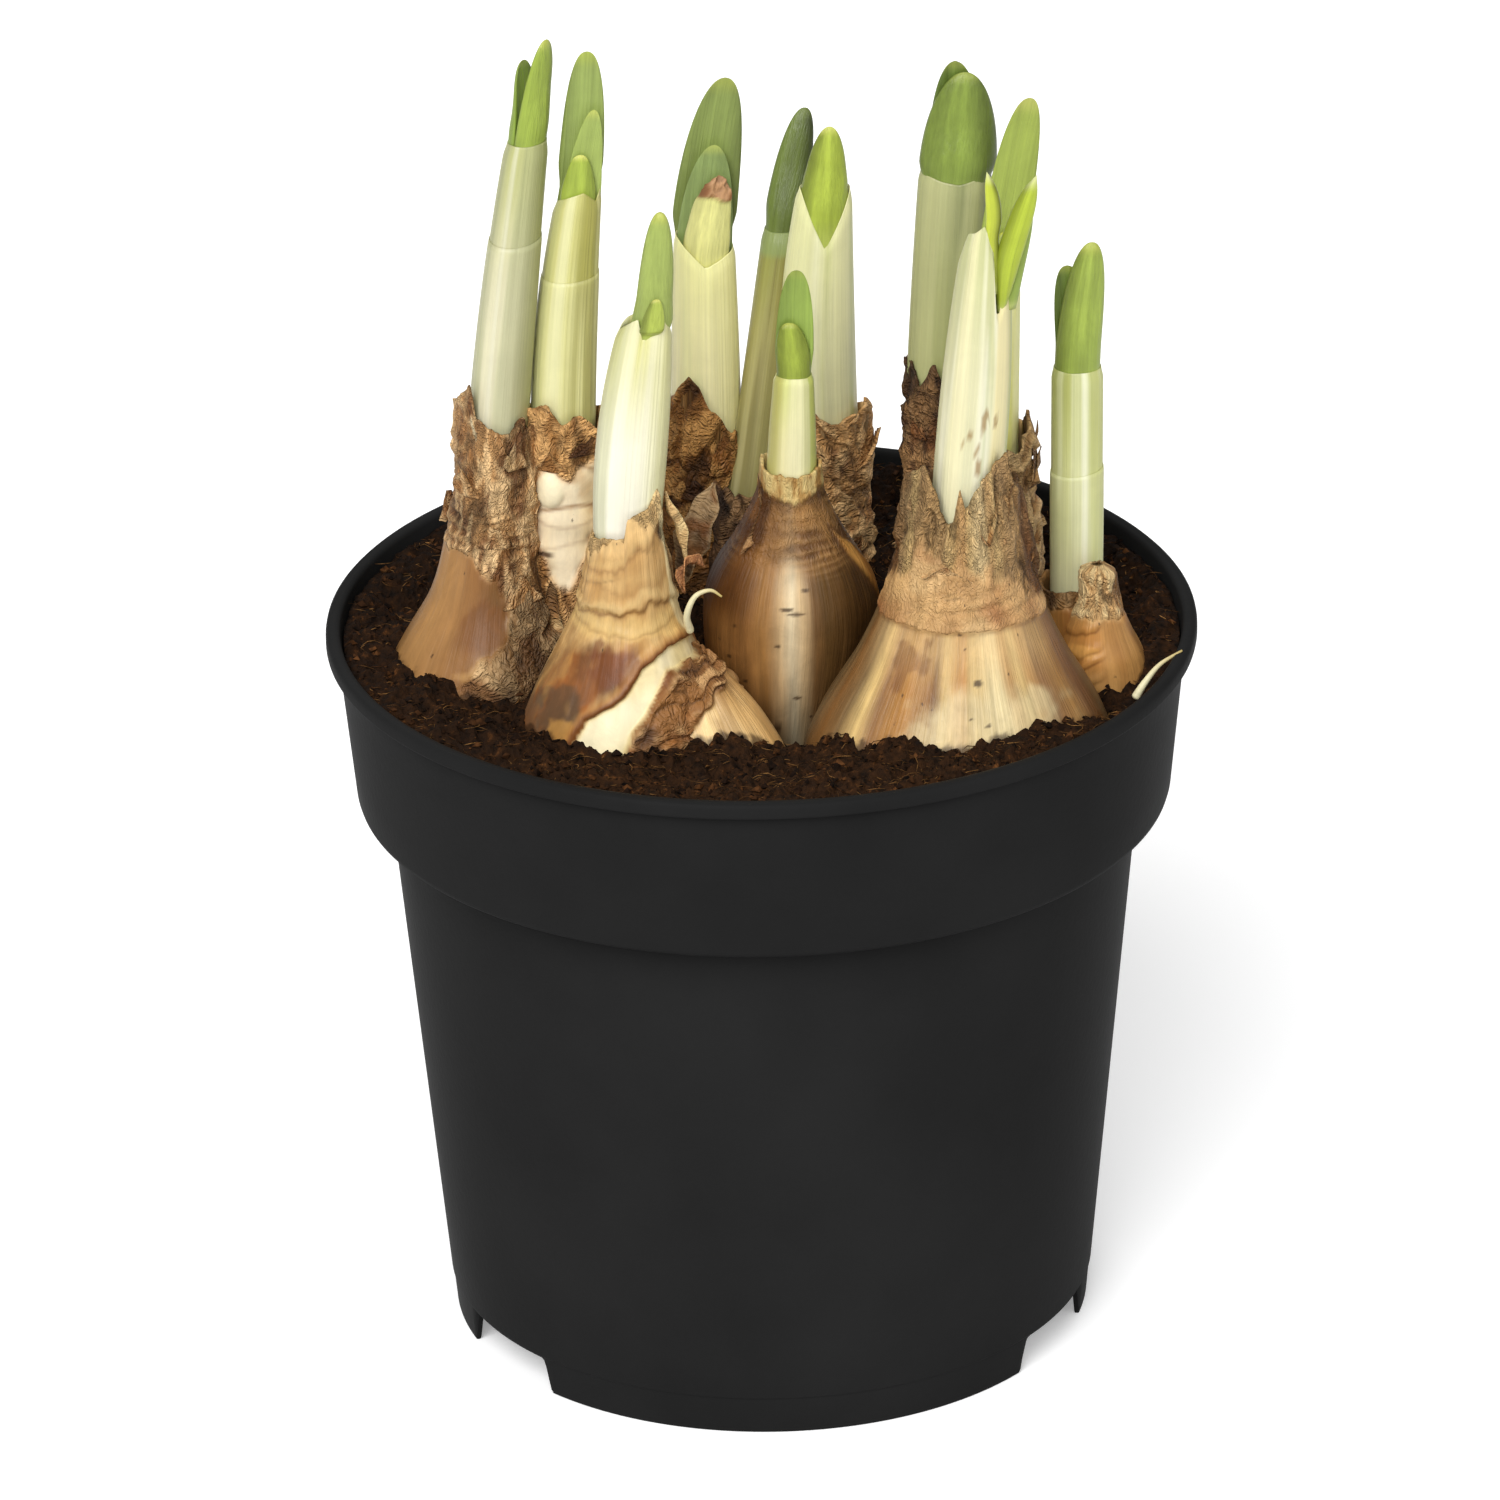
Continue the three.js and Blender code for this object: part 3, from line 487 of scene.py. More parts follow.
def body_radius(z):
    """Outer radius of the tapered body at height z."""
    return FOOT + (SHOULDER - FOOT) * z / COLLAR_Z


def collar_radius(z):
    """Outer radius of the collar at height z."""
    return COLLAR + (COLLAR_TOP - COLLAR) * (z - COLLAR_Z) / (POT_HEIGHT - LIP_HEIGHT - COLLAR_Z)


def rounded(corner, before, after, radius, count=4):
    """Points of a bent corner: a quadratic curve from radius before the corner to radius after it."""
    corner, before, after = (np.array(p, float) for p in (corner, before, after))
    start = corner + radius * (before - corner) / np.linalg.norm(before - corner)
    end = corner + radius * (after - corner) / np.linalg.norm(after - corner)
    t = np.linspace(0, 1, count)[:, None]
    return (1 - t) ** 2 * start + 2 * t * (1 - t) * corner + t * t * end


# %% Pot profile
lip_z, ledge = POT_HEIGHT - LIP_HEIGHT, COLLAR_Z + WALL
corners = [  # radius, height and how far the corner is rounded
    (body_radius(FLOOR_Z) - WALL, FLOOR_Z, 0.5), (FOOT - WALL, 0, 0.2), (FOOT - 0.25, 0, 0.4),
    (body_radius(FOOT_BAND) - 0.25, FOOT_BAND, 0.12), (body_radius(FOOT_BAND), FOOT_BAND + 0.3, 0.12),
    (SHOULDER, COLLAR_Z, 0.8), (COLLAR - 0.3, COLLAR_Z, 1.4), (COLLAR_TOP, lip_z, 0.5), (RIM, lip_z, 0.5),
    (RIM, POT_HEIGHT, 1.0), (RIM - LIP_WIDTH, POT_HEIGHT, 0.9), (collar_radius(ledge) - WALL, ledge, 1.0),
    (body_radius(ledge) - WALL, ledge, 0.8), (body_radius(FLOOR_Z + WALL) - WALL, FLOOR_Z + WALL, 1.0),
]
trail = [(1.0, FLOOR_Z), (20.0, FLOOR_Z), (48.0, FLOOR_Z)]
ends = [(0.0, FLOOR_Z)] + [c[:2] for c in corners] + [(0.0, FLOOR_Z + WALL)]
for k, (r, z, bend) in enumerate(corners):
    bent = rounded((r, z), ends[k], ends[k + 2], bend)
    gap = np.linalg.norm(bent[0] - trail[-1])
    steps = int(gap // 8)
    trail += [tuple(np.array(trail[-1]) + (bent[0] - trail[-1]) * s / (steps + 1))
              for s in range(1, steps + 1)]
    trail += [tuple(p) for p in bent]
trail += [(30.0, FLOOR_Z + WALL), (1.0, FLOOR_Z + WALL)]
profile = np.array(trail)
# %% Pot rings
turns = np.linspace(-180, 180, POT_COLUMNS, endpoint=False)
slope_steps = [NOTCH_HIGH - 0.6, NOTCH_HIGH, NOTCH_HIGH + 0.5, 10.9, 11.5, 12.1, NOTCH_LOW, NOTCH_LOW + 0.5]
edge_turn = np.degrees(np.array(slope_steps) / FOOT)
extra = [a + s * e for a in NOTCH_ANGLES for e in edge_turn for s in (-1, 1)]
turns = np.radians(np.unique(np.round((np.concatenate([turns, extra]) + 180) % 360 - 180, 3)))
away = np.min([np.abs((np.degrees(turns) - a + 180) % 360 - 180) for a in NOTCH_ANGLES], axis=0)
from_middle = np.radians(away) * FOOT
lift = NOTCH_HEIGHT * ease((NOTCH_LOW - from_middle) / (NOTCH_LOW - NOTCH_HIGH)) ** 0.8
radius, height = profile.T
low_part = (radius > 40) & (height < FLOOR_Z - 0.4)
height = np.broadcast_to(height[:, None], (len(height), len(turns))).copy()
height[low_part] = np.maximum(height[low_part], lift)
rings = xyz(radius[:, None] * np.cos(turns), radius[:, None] * np.sin(turns), height)
pot_shell = skin(rings, {})

# %% Pot finish
POT, tree, sockets = finish("black pot plastic", Specular_IOR_Level=0.015)
place = node(tree, "TexCoord").outputs["Object"]
grain = cloud(tree, place, 900.0, 3.0)
cloudy = cloud(tree, place, 24.0, 4.0)
base = stir(tree, between(tree, cloudy, 0.35, 0.65), colour("#1f1f1f"), colour("#242424"))
tree.links.new(base, sockets["Base Color"])
tree.links.new(between(tree, cloudy, 0.3, 0.7, 0.46, 0.54), sockets["Roughness"])
tree.links.new(bump(tree, grain, 0.00004), sockets["Normal"])

# %% Drainage holes
pot = piece("nursery_pot", [pot_shell], POT, ["pot"])
cutter_tube = [tube([(DRAIN_CIRCLE * math.cos(a), DRAIN_CIRCLE * math.sin(a), z) for z in (6, 8, 10, 12)],
                    [DRAIN_RADIUS] * 4, 32) for a in np.radians([0, 90, 180, 270])]
cutter = piece("drain_cutter", cutter_tube, POT)
drill = pot.modifiers.new("drain holes", "BOOLEAN")
drill.operation, drill.object, drill.solver = "DIFFERENCE", cutter, "EXACT"
bpy.context.view_layer.update()
cut = bpy.data.meshes.new_from_object(pot.evaluated_get(bpy.context.evaluated_depsgraph_get()))
pot.modifiers.clear()
pot.data = cut
bpy.data.objects.remove(cutter)
pot.data.set_sharp_from_angle(angle=math.radians(40))
print("pot with holes:", len(pot.data.polygons), "faces")

# %% [markdown]
# ## The soil's level
# Bulbs and soil meet along a line, and both need it: the bulbs are stained with soil and painted with shade
# just above it, and the soil heaps up against them. So the broad level comes first.

# %% Soil level
SOIL_AT_WALL, SOIL_DIP, SOIL_DIP_WIDTH, CLEAR = 126.8, 4.0, 26.0, 0.3
SOIL_PITS = [(5, -23, 13, 7), (58, -21, 7, 9)]  # place, depth and width
SOIL_GRID, CRUMBS, FIBRES = 236, 4600, 2000
SOIL_RADIUS = collar_radius(SOIL_AT_WALL) - WALL - 0.1


def soil_level(x, y):
    """The broad surface: level with the wall, dipping inwards, with two pits and soft lumps."""
    inward = RIM - LIP_WIDTH - np.hypot(x, y)
    pits = sum(deep * np.exp(-0.5 * (np.hypot(x - px, y - py) / wide) ** 2) for px, py, deep,
               wide in SOIL_PITS)
    lumps = 0.7 * np.sin(0.31 * x + 1.3) * np.cos(0.27 * y) + 0.5 * np.sin(0.17 * x - 0.23 * y)
    return SOIL_AT_WALL - SOIL_DIP * ease(inward / SOIL_DIP_WIDTH) - pits + lumps * np.clip(inward / 6, 0, 1)


# %% [markdown]
# ## The bulbs' layout
# Bulbs grow in clumps of offsets. Each nose is a stack of ovals, wide at the belly and narrow at the neck:
# the same numbers as the solids have, repeated here, with what the surface needs besides. A closed outline,
# "bare", says where the skin is smooth; the rest is crumpled paper. What most noses or shoots share stands
# in one plain row, and each names only where it differs.

# %% Noses
# base, mouth: middle of the oval at both ends. oval: its depth over its width (mouth_oval: at the mouth).
# girth: half-widths (height, mm). rim: how far the torn mouth rises round the turn; rag: how ragged it is.
# bare: outline (degrees, height) of the smooth skin; all else is crumpled paper. skin: its two colours.
# paper: light, middle and dark colour of the torn layers. lined: how clear the fibres are. crumple: depth of
# the folds, grain: how flat they lie, slant: how they slope, fold: their size. fine: how fine the mesh is.
# pleats: lowest and highest height of fine level wrinkles, their depth and colour.
WARM = np.array([1.0, 0.96, 0.8])  # all the bulbs' colours are seen through this
TAN_PAPER, BROWN_PAPER = ("#d8b287", "#a27a50", "#5a3d27"), ("#c49a70", "#8a633f", "#432c1b")
LIGHT_PAPER, GREY_PAPER = ("#ecd0a0", "#cda271", "#a87b4e"), ("#a58a6c", "#6f583f", "#463527")
PLAIN_NOSE = dict(shoot=None, oval=1, mouth_oval=1, rim=[[0, 0]], bare=[], lined=0.6, slant=0, fold=8,
                  fine=1.0)
NOSES = {
    "A": dict(
        clump="left", shoot="left", base=(-49.3, -5), mouth=(-44.8, -3), oval=0.92, seed=11,
        girth=[[100, 7], [107, 13.6], [117, 18.2], [126, 15.8], [137, 10.4], [147, 8.2], [158, 7.4],
            [168, 6.9]],
        rim=[[-180, 4], [-140, 7], [-130, 9], [-118, 4.5], [-101, 2], [-83, 0], [-63, 1], [-45, 3],
            [-31, 0], [60, 2], [120, 3]],
        bare=[(-255, 142), (-180, 147), (-116, 146), (-85, 142.5), (-67, 137), (-74, 132.8), (-92, 129.8),
            (-108, 125), (-125, 119), (-130, 90), (-255, 90)],
        skin=("#c49561", "#9a6a3e"), paper=("#f6d2a6", "#cb9c6c", "#835a3b"), lined=0.35, crumple=0.9,
        grain=1.3, slant=0.2, fold=8.5, fine=1.3),
    "B": dict(
        clump="left", shoot="left_inner", base=(-36, 0), mouth=(-33.3, 0), seed=27,
        girth=[[100, 4], [108, 8], [118, 9.5], [130, 8.8], [142, 7], [154, 6.6], [167, 7]],
        rim=[[-180, 2], [-141, 5], [-110, 5], [-91, 1.5], [-61, 2.8], [-38, 1], [60, 1]],
        bare=[(-175, 148), (-170, 152), (-152, 157), (-110, 160.5), (-80, 158), (-40, 161), (20, 156),
            (0, 147), (-45, 147), (-62, 142), (-78, 138.6), (-95, 140.5), (-120, 145), (-150, 147)],
        skin=("#fbf0df", "#ecd7b4"), paper=("#e6b67f", "#b4824f", "#634026"), lined=0.12, crumple=0.9,
        grain=1.1, fold=5, fine=1.2),
    # A_flap: its dark skin and paper colours are partly its own and partly painted shade
    "A_flap": dict(
        clump="left", base=(-45.5, -15.5), mouth=(-41, -9), oval=0.9, seed=4, girth=[[102, 3], [110, 5.2],
        [118, 6], [127, 4.6], [137, 1.5]], skin=("#8d6747", "#6b4b30"),
        paper=("#94704c", "#5f432c", "#2e2016"), lined=0.5, crumple=1.2, grain=0.8, fold=5, fine=1.2),
    "C": dict(
        clump="front_left", shoot="front_left", base=(-24.5, -28.5), mouth=(-22.6, -24), oval=0.81, seed=42,
        girth=[[100, 8], [108, 14.5], [117, 18.2], [125.5, 17], [136, 12.2], [144, 8.6], [149, 6.9],
            [153.5, 5.8]],
        rim=[[-180, 3.5], [-145, 3.5], [-120, 4.2], [-93, 4.5], [-88, 8], [-60, 9.2], [-45, 10.2],
            [-30, 12.5], [-22, 8], [-10, 2], [60, 1]],
        rag=0.25,
        bare=[(-270, 90), (-270, 149), (-133, 152), (-85, 154), (-50, 151), (-30, 147), (20, 144),
            (90, 144), (90, 90)],
        skin=("#e2bf8c", "#bf935c"), paper=TAN_PAPER, lined=0.45, crumple=0.6, grain=1.2, fine=1.5,
        pleats=(142.5, 155, 0.3, "#d3a770")),
    "C_lobe": dict(
        clump="front_left", base=(-3.4, -33), mouth=(-12.4, -28), seed=53,
        girth=[[100, 4.5], [108, 9.8], [116, 11.7], [124, 10.2], [130, 7.2], [136, 2.4]],
        bare=[(-140, 90), (-138, 119), (-118, 123.5), (-92, 127.5), (-60, 130.5), (-20, 132.5), (20, 133),
            (60, 120), (60, 90)],
        skin=("#fbdcab", "#e0b47a"), paper=("#d9ab7c", "#9c7149", "#573b26"), lined=0.9, crumple=0.9,
        grain=0.8, fine=1.5),
    "J": dict(
        clump="front_right", shoot="front_right", base=(33.3, -28), mouth=(34.4, -22), oval=0.7, seed=33,
        girth=[[98, 10], [106, 19.5], [115.5, 25.8], [123.5, 23.6], [134.5, 17.3], [145, 12.6], [157, 8.6]],
        rim=[[-180, 7], [-165, 10], [-140, 12.5], [-130, 10.5], [-120, 6.5], [-110, 3.2], [-103, 3.4],
            [-94, 9.4], [-88, 5.5], [-78, 8], [-62, 12], [-50, 13.5], [-38, 15], [-20, 9], [60, 4]],
        rag=1.0,
        bare=[(-270, 90), (-270, 146), (-180, 147), (-150, 148.5), (-112, 151.5), (-80, 150), (-60, 148.5),
            (-37, 147), (0, 143), (90, 143), (90, 90)],
        skin=("#e6cfa3", "#a97c4c"), paper=("#f8d0a0", "#c49062", "#744c30"), lined=0.7, crumple=1.2,
        grain=0.9, fold=6, fine=1.4, pleats=(142.5, 156, 0.5, "#c79c6e")),
    "H": dict(
        clump="front_right", shoot="right_rear", base=(33, -1.5), mouth=(31.8, 17), seed=61,
        girth=[[100, 5], [110, 11], [120, 11.5], [132, 8.4], [142, 6.8], [152, 6.7], [165, 6.9]],
        rim=[[-180, 4], [-165, 3.5], [-152, 6], [-140, 4], [-128, 2.5], [-115, 4], [-101, 7], [-92, 4],
            [-60, 3], [0, 2], [90, 4]],
        skin=("#a97b4c", "#7c5531"), paper=("#a47c55", "#6b4a31", "#301f15"), crumple=1.1, grain=1.6,
        fold=5, fine=1.2),
    "I": dict(
        clump="front_right", shoot="right_inner", base=(40, 2), mouth=(42.2, 11), seed=74, girth=[[100, 4],
        [110, 7], [120, 7.6], [132, 7.4], [144, 6.0], [157, 5.1]],
        rim=[[-180, 2], [-100, 0], [-60, 0], [-35, 2], [-12, 5.5], [5, 3], [90, 2]],
        skin=("#a97b4c", "#7c5531"), paper=("#f0cda0", "#bb9164", "#6e4c33"), crumple=1.3, grain=0.9,
        fold=4.5, fine=1.2),
    "D": dict(
        clump="rear_left", shoot="rear_left", base=(-13, 34), mouth=(-9.2, 33), seed=86, girth=[[100, 5],
        [108, 10], [117, 12], [127, 11], [137, 8.8], [151, 7.6]],
        rim=[[-180, 5], [-150, 6.5], [-126, 10], [-110, 12], [-96, 9.5], [-80, 6.5], [-69, 4.4], [-55, 1],
            [-20, 0], [60, 2]],
        skin=("#7d5c40", "#553b28"), paper=("#cc9a5f", "#906130", "#462a15"), crumple=1.2, grain=1.2,
        slant=-0.8, fold=5, fine=1.2),
    "E": dict(
        clump="rear_left", shoot="rear_middle", base=(-4.8, 26), mouth=(-2.4, 24), seed=92, girth=[[100, 3],
        [111, 6], [121, 7], [131, 6.3], [141.5, 5.4]], rim=[[0, 2.5]], skin=("#8b6a4a", "#5f4630"),
        paper=("#a98562", "#6b4d34", "#33231a"), crumple=1.1, grain=0.7, fold=5),
    "F": dict(
        clump="rear", shoot="rear", base=(11.5, 37), mouth=(12, 36), seed=105, girth=[[100, 4], [109, 8],
        [118, 9], [128, 8.2], [138, 7.6], [149, 7.9]],
        rim=[[-180, 6], [-140, 7], [-112, 7.5], [-100, 5], [-85, 4], [-65, 4.5], [-42, 5], [-28, 8],
            [-15, 3], [60, 2]],
        skin=("#94704a", "#684a2e"), paper=("#f9cf9d", "#d5a36e", "#855e40"), crumple=0.95, grain=1.2,
        slant=0.6, fold=4.5, fine=1.3),
    "G": dict(
        clump="centre", shoot="centre", base=(3.4, -8), mouth=(5.3, -7.6), oval=0.93, mouth_oval=0.87,
        seed=117,
        girth=[[98, 5], [108, 9.6], [119, 12.8], [126, 14.3], [132, 15], [137.5, 14.8], [143, 12.9],
            [148.5, 9.4], [152.5, 6.6], [155.5, 5.2], [158.5, 4.9]],
        rim=[[-180, 4], [-150, 3], [-120, 2.5], [-84, 2.2], [-40, 2.6], [0, 3.5], [60, 3]],
        bare=[(-270, 90), (-270, 160), (90, 160), (90, 90)], skin=("#c9a46a", "#8f6535"),
            paper=("#cfae72", "#a07a43", "#5e4424"), lined=0.5, crumple=0.5, grain=1.2, fine=1.5),
    "K": dict(
        clump="right", shoot="right", base=(57.6, -5.5), mouth=(54.5, -2.5), oval=1.15, seed=129,
        girth=[[100, 4], [108, 7.4], [116, 8.9], [125, 8.4], [136, 6.8]], rim=[[-180, 0], [0, 1.5]],
        bare=[(-270, 90), (-270, 133), (90, 133), (90, 90)], skin=("#cb9659", "#9c6a36"),
        paper=("#dcb487", "#b88a57", "#7d5a38"), crumple=0.6, grain=0.8),
    "K_stub": dict(
        clump="right", base=(58.6, -7.5), mouth=(57.6, -9.5), seed=134,
        girth=[[104, 4], [112, 7.4], [119, 8.2], [126, 7.4], [130.5, 5.6], [133.5, 4.5], [136, 3.3],
            [139, 2.8], [141.6, 2.9], [142.8, 1.2]],
        rag=0.1,
        bare=[(-270, 90), (-270, 133), (-110, 134), (-60, 133.5), (0, 134), (90, 134), (90, 90)],
        skin=("#c99a63", "#a97843"), paper=("#ffe2b2", "#e8bc88", "#b28559"), crumple=0.5, grain=1.5,
        fold=5, fine=1.4),
}
NOSES = {name: {**PLAIN_NOSE, **nose} for name, nose in NOSES.items()}

# %% Shoots
# foot, top: middle of the sheath at both ends. bow: sideways. across: half-width at the foot, middle and
# top. oval: depth over width. turn: of the section. notch: V in the edge (way it faces, depth). tilt: of the
# edge. edge: its height round the turn. sleeve: height of an outer sheath. snug: the front leaf lies flat on
# the back one. leaves: height of the tip, half-width, drift sideways, how far the leaves part and a shift at
# the sheath's mouth; or, for a thick free leaf, its middle, height, half-width and half-depth from foot to
# tip.
PLAIN_SHOOT = dict(bow=0, oval=0.85, turn=0, tilt=0, notch=(0, 0), sleeve=0, edge=None, snug=False)
SHOOTS = {
    "left": dict(
        foot=(-45.3, -3, 155), top=(-38.2, -3, 220.1), bow=-0.6, across=(5.5, 5.2, 4), turn=50, sleeve=202.6,
        leaves={"front": (238.5, 3.5, 0, 0.9), "back": (233.8, 3.1, 0, 3)}),
    "left_inner": dict(
        foot=(-33.4, 0, 156), top=(-29.6, 0, 209.5), bow=-1, across=(5.3, 5.2, 3.8), notch=(90, 9),
        sleeve=194.4,
        edge=[[-180, 207.6], [-135, 208.6], [-100, 209.6], [-80, 210.1], [-62, 209.4], [-35, 208.2],
            [-15, 209.4], [0, 209.8], [60, 205], [90, 201], [140, 205]],
        leaves={"back": (233.7, 3.85, -1.8, 1.6), "core": (224.1, 3.1, 0.2, 0.3, 0.4),
            "front": (216.3, 2.7, -0.7, 0)}),
    "front_left": dict(
        foot=(-23, -24, 146), top=(-18.6, -24, 195.5), bow=-0.8, across=(4.5, 6.1, 4.4), oval=0.8,
        notch=(-95, 3), snug=True,
        edge=[[-180, 193.8], [-152, 195.2], [-128, 196.4], [-112, 197], [-93, 193.2], [-58, 196.6],
            [-43, 197.6], [-20, 195.8], [0, 194.5], [90, 196], [140, 195.5]],
        leaves={"back": (215.3, 3.1, -1.4, 0, 1.1), "front": (200.8, 1.7, 0, 0, 1.1)}),
    "rear_left": dict(
        foot=(-9.1, 33, 138), top=(-8.8, 33, 186), across=(6.2, 6, 5.3), tilt=-1.25, notch=(-88, 3.6),
        leaves={"back": (215.1, 5.6, 4.2, 1, -0.3), "core": (203.6, 4.8, 1.9, 0),
            "front": (198.6, 3.7, 2.2, 0.2, 0.3)}),
    "rear_middle": dict(
        foot=(-3, 24, 134), top=(4.7, 40, 185.1), across=(3.8, 3.6, 3.4),
        leaves={"back": (201.5, 2.9, 1.2, 0.3), "front": (205, 3.5, 1.2, 0.2)}),
    "rear": dict(
        foot=(11.2, 36, 138), top=(12.1, 29, 197.1), bow=-1.2, across=(6.4, 6.6, 4.7), oval=0.8,
        notch=(-82, 10.6),
        leaves={"front": (209, 4, -0.2, 0), "back": (203, 4, 0, 0.5)}),
    "centre": dict(
        foot=(5.2, -7.6, 150), top=(6.2, -7.6, 178.2), across=(4.5, 4.2, 3.4),
        leaves={"back": (197, 3.3, 0, 0.6), "front": (187.8, 3, -1, 0.2)}),
    "right_rear": dict(
        foot=(31.6, 17, 152), top=(34.4, 17, 205.2), bow=-0.2, across=(6.6, 6.5, 6.3), oval=0.75,
        notch=(-85, 1.4),
        leaves={"front": (223, 6.7, 0.2, 0, 0.3), "back": (224.6, 5, -1.2, 0.8)}),
    "right_inner": dict(
        foot=(40.2, 11, 147), top=(41.2, 11, 190), across=(4.3, 4.2, 4.1), oval=0.75, notch=(0, 4),
        leaves={"back": (220, 4.1, 4.4, 1, 0.7), "front": (196, 2.8, 1.4, 0)}),
    "front_right": dict(
        foot=(34, -22, 149), top=(38.9, -22, 212.5), bow=0.3, across=(6.2, 6.9, 4), turn=75, notch=(-25, 16),
        edge=[[-180, 206.5], [-150, 210.5], [-125, 211], [-95, 212.5], [-84, 211], [-66, 207.5], [-59, 197],
            [-50, 196.6], [-30, 202], [-10, 204], [20, 204], [90, 206], [140, 207]],
        leaves={"back": [(39.7, -24.6, 200, 1.6, 1), (39.6, -24.9, 209.6, 1.2, 1.1),
            (40, -25.1, 213.7, 1.3, 1.1), (39.8, -25.1, 217.3, 1.25, 1), (39.3, -25, 220.3, 0.9, 0.8),
            (38.9, -24.9, 222, 0.3, 0.3)], "front": [(40.9, -24.4, 196, 0.6, 1.2),
            (41.6, -24.6, 201, 1.5, 1.4), (42.4, -24.8, 206, 2.1, 1.5), (43.6, -24.8, 210.5, 2.2, 1.4),
            (45, -24.6, 215, 2, 1.2), (46.2, -24.4, 218.6, 1.4, 0.9), (47.2, -24.3, 221, 0.4, 0.3)],
            "side": [(42.2, -23, 196.5, 1.5, 1.2), (43.1, -23, 202, 1.7, 1.2), (44.4, -23, 208, 1.6, 1),
            (45.5, -23.2, 212.6, 1.2, 0.8), (46.2, -23.6, 215.4, 0.5, 0.4)]}),
    "right": dict(
        foot=(54.1, -2.5, 127), top=(54.5, -2.5, 176.6), across=(4.3, 4.4, 4.4), sleeve=157.8,
        leaves={"front": (199.5, 3.85, 2.4, 0), "back": (194.9, 3.5, -1.8, 0.6)}),
}
SHOOTS = {name: {**PLAIN_SHOOT, **shoot} for name, shoot in SHOOTS.items()}


# %% [markdown]
# ## Bulb surfaces
# A nose could be sculpted, but numbers keep it in its place: start from the smooth oval, add ribs over the
# belly, and where the skin is torn add crumpled paper, which is noise with sharp ridges and sharp valleys.
# The valleys also get painted shade in their colour. At the mouth the surface turns over a torn edge and runs
# down inside as a cup, darkened inside by painted shade.

# %% Nose frame
def zigzag(a):
    """A triangle wave, from -1 to 1, once a turn."""
    return 2 / np.pi * np.arcsin(np.sin(a))


def nose_frame(nose, z):
    """Middle and the two half-widths of the nose's oval at height z."""
    low, high = nose["girth"][0][0], nose["girth"][-1][0]
    share = np.clip((z - low) / (high - low), 0, 1)
    radius = along(nose["girth"], z)
    oval = nose["oval"] + (nose["mouth_oval"] - nose["oval"]) * share
    middle = [a + (b - a) * ease(share) for a, b in zip(nose["base"], nose["mouth"])]
    return middle[0], middle[1], radius, radius * oval


def on_nose(nose, angle, z, out=0.0):
    """The point at this angle and height on the nose's smooth oval, moved outwards."""
    x, y, across, deep = nose_frame(nose, z)
    swell = 1 + 0.025 * np.sin(2 * angle + nose["seed"]) + 0.015 * np.sin(5 * angle + 2 * nose["seed"])
    return xyz(x + (across * swell + out) * np.cos(angle), y + (deep * swell + out) * np.sin(angle), z)


def belly_of(nose):
    """The nose's largest half-width."""
    return max(r for _, r in nose["girth"])


def fibre_of(nose, angle, z):
    """Where a point lies on the skin laid flat: round the belly's girth, and up."""
    return wrapped(angle, z + 7.0 * nose["seed"], belly_of(nose))


def in_folds(relief):
    """How deep in a fold of paper_relief a point lies: 1 in the valleys, where shade is painted."""
    return ease((-relief - 0.1) / 0.16)


# %% Crumpled paper
def paper_relief(p, size, seed):
    """Crumpled paper: sharp ridges and sharp valleys at several sizes, from about -0.4 to 0.4."""
    warp = np.stack([rough(p, 1.1 * size, 2, seed + k) for k in (1, 2, 3)], -1) * 0.45 * size
    q = p + warp
    return (0.24 * zigzag(7 * rough(q, 1.6 * size, 2, seed + 5))
            + 0.1 * zigzag(7 * rough(q, 0.7 * size, 2, seed + 9))
            + 0.15 * rough(q, size, 2, seed + 12))


def pleats(fibre, z, pitch, seed):
    """Level wrinkles like an accordion's: 0 in the valleys and 1 between, and where they are present."""
    phase = np.pi * (z / pitch + 1.5 * rough(fibre * [0.35, 0.35, 1], 8, 2, seed))
    present = ease(0.35 + 1.5 * rough(fibre * [0.5, 0.5, 1], 6, 2, seed + 1))
    return np.abs(np.sin(phase)), present


def paper_tint(paper, fibre, relief, seed):
    """Torn paper: middle to dark in soft patches, with a painted highlight on the ridges of its folds."""
    light, middle, dark = (colour(c) for c in paper)
    tint = mix(middle, dark, ease(0.3 + 1.3 * rough(fibre, 7, 3, seed + 30)))
    tint = mix(tint, "#b06f3a", 0.35 * ease((rough(fibre, 8, 2, seed + 31) - 0.2) / 0.3))
    # painted highlight on the ridges of the folds
    tint = mix(tint, light, 0.85 * ease((relief - 0.02) / 0.2))
    return mix(tint, light * 1.25, 0.7 * ease((rough(fibre * [1, 1, 0.5], 3, 3, seed + 33) - 0.12) / 0.3))


# %% [markdown]
# ## Marks of single bulbs
# The front left bulb has lost a strip of its skin, which shows white with a brown scalloped edge, beside a
# reddish patch; the right one has a second, wrinkled skin above a fold line and a cream front with brown
# ribs. Marks could be painted on a picture, but a picture has one size; here each is worked out. A closed
# outline on the skin laid flat gives, by the distance inside it, both the colour and the small step in the
# surface. Soft spots and a short list of colour stops round the turn do the rest.

# %% A skin to mark
LAID_FLAT = 0.75  # width of the skin laid flat as a share of the belly's girth: the noses narrow upwards


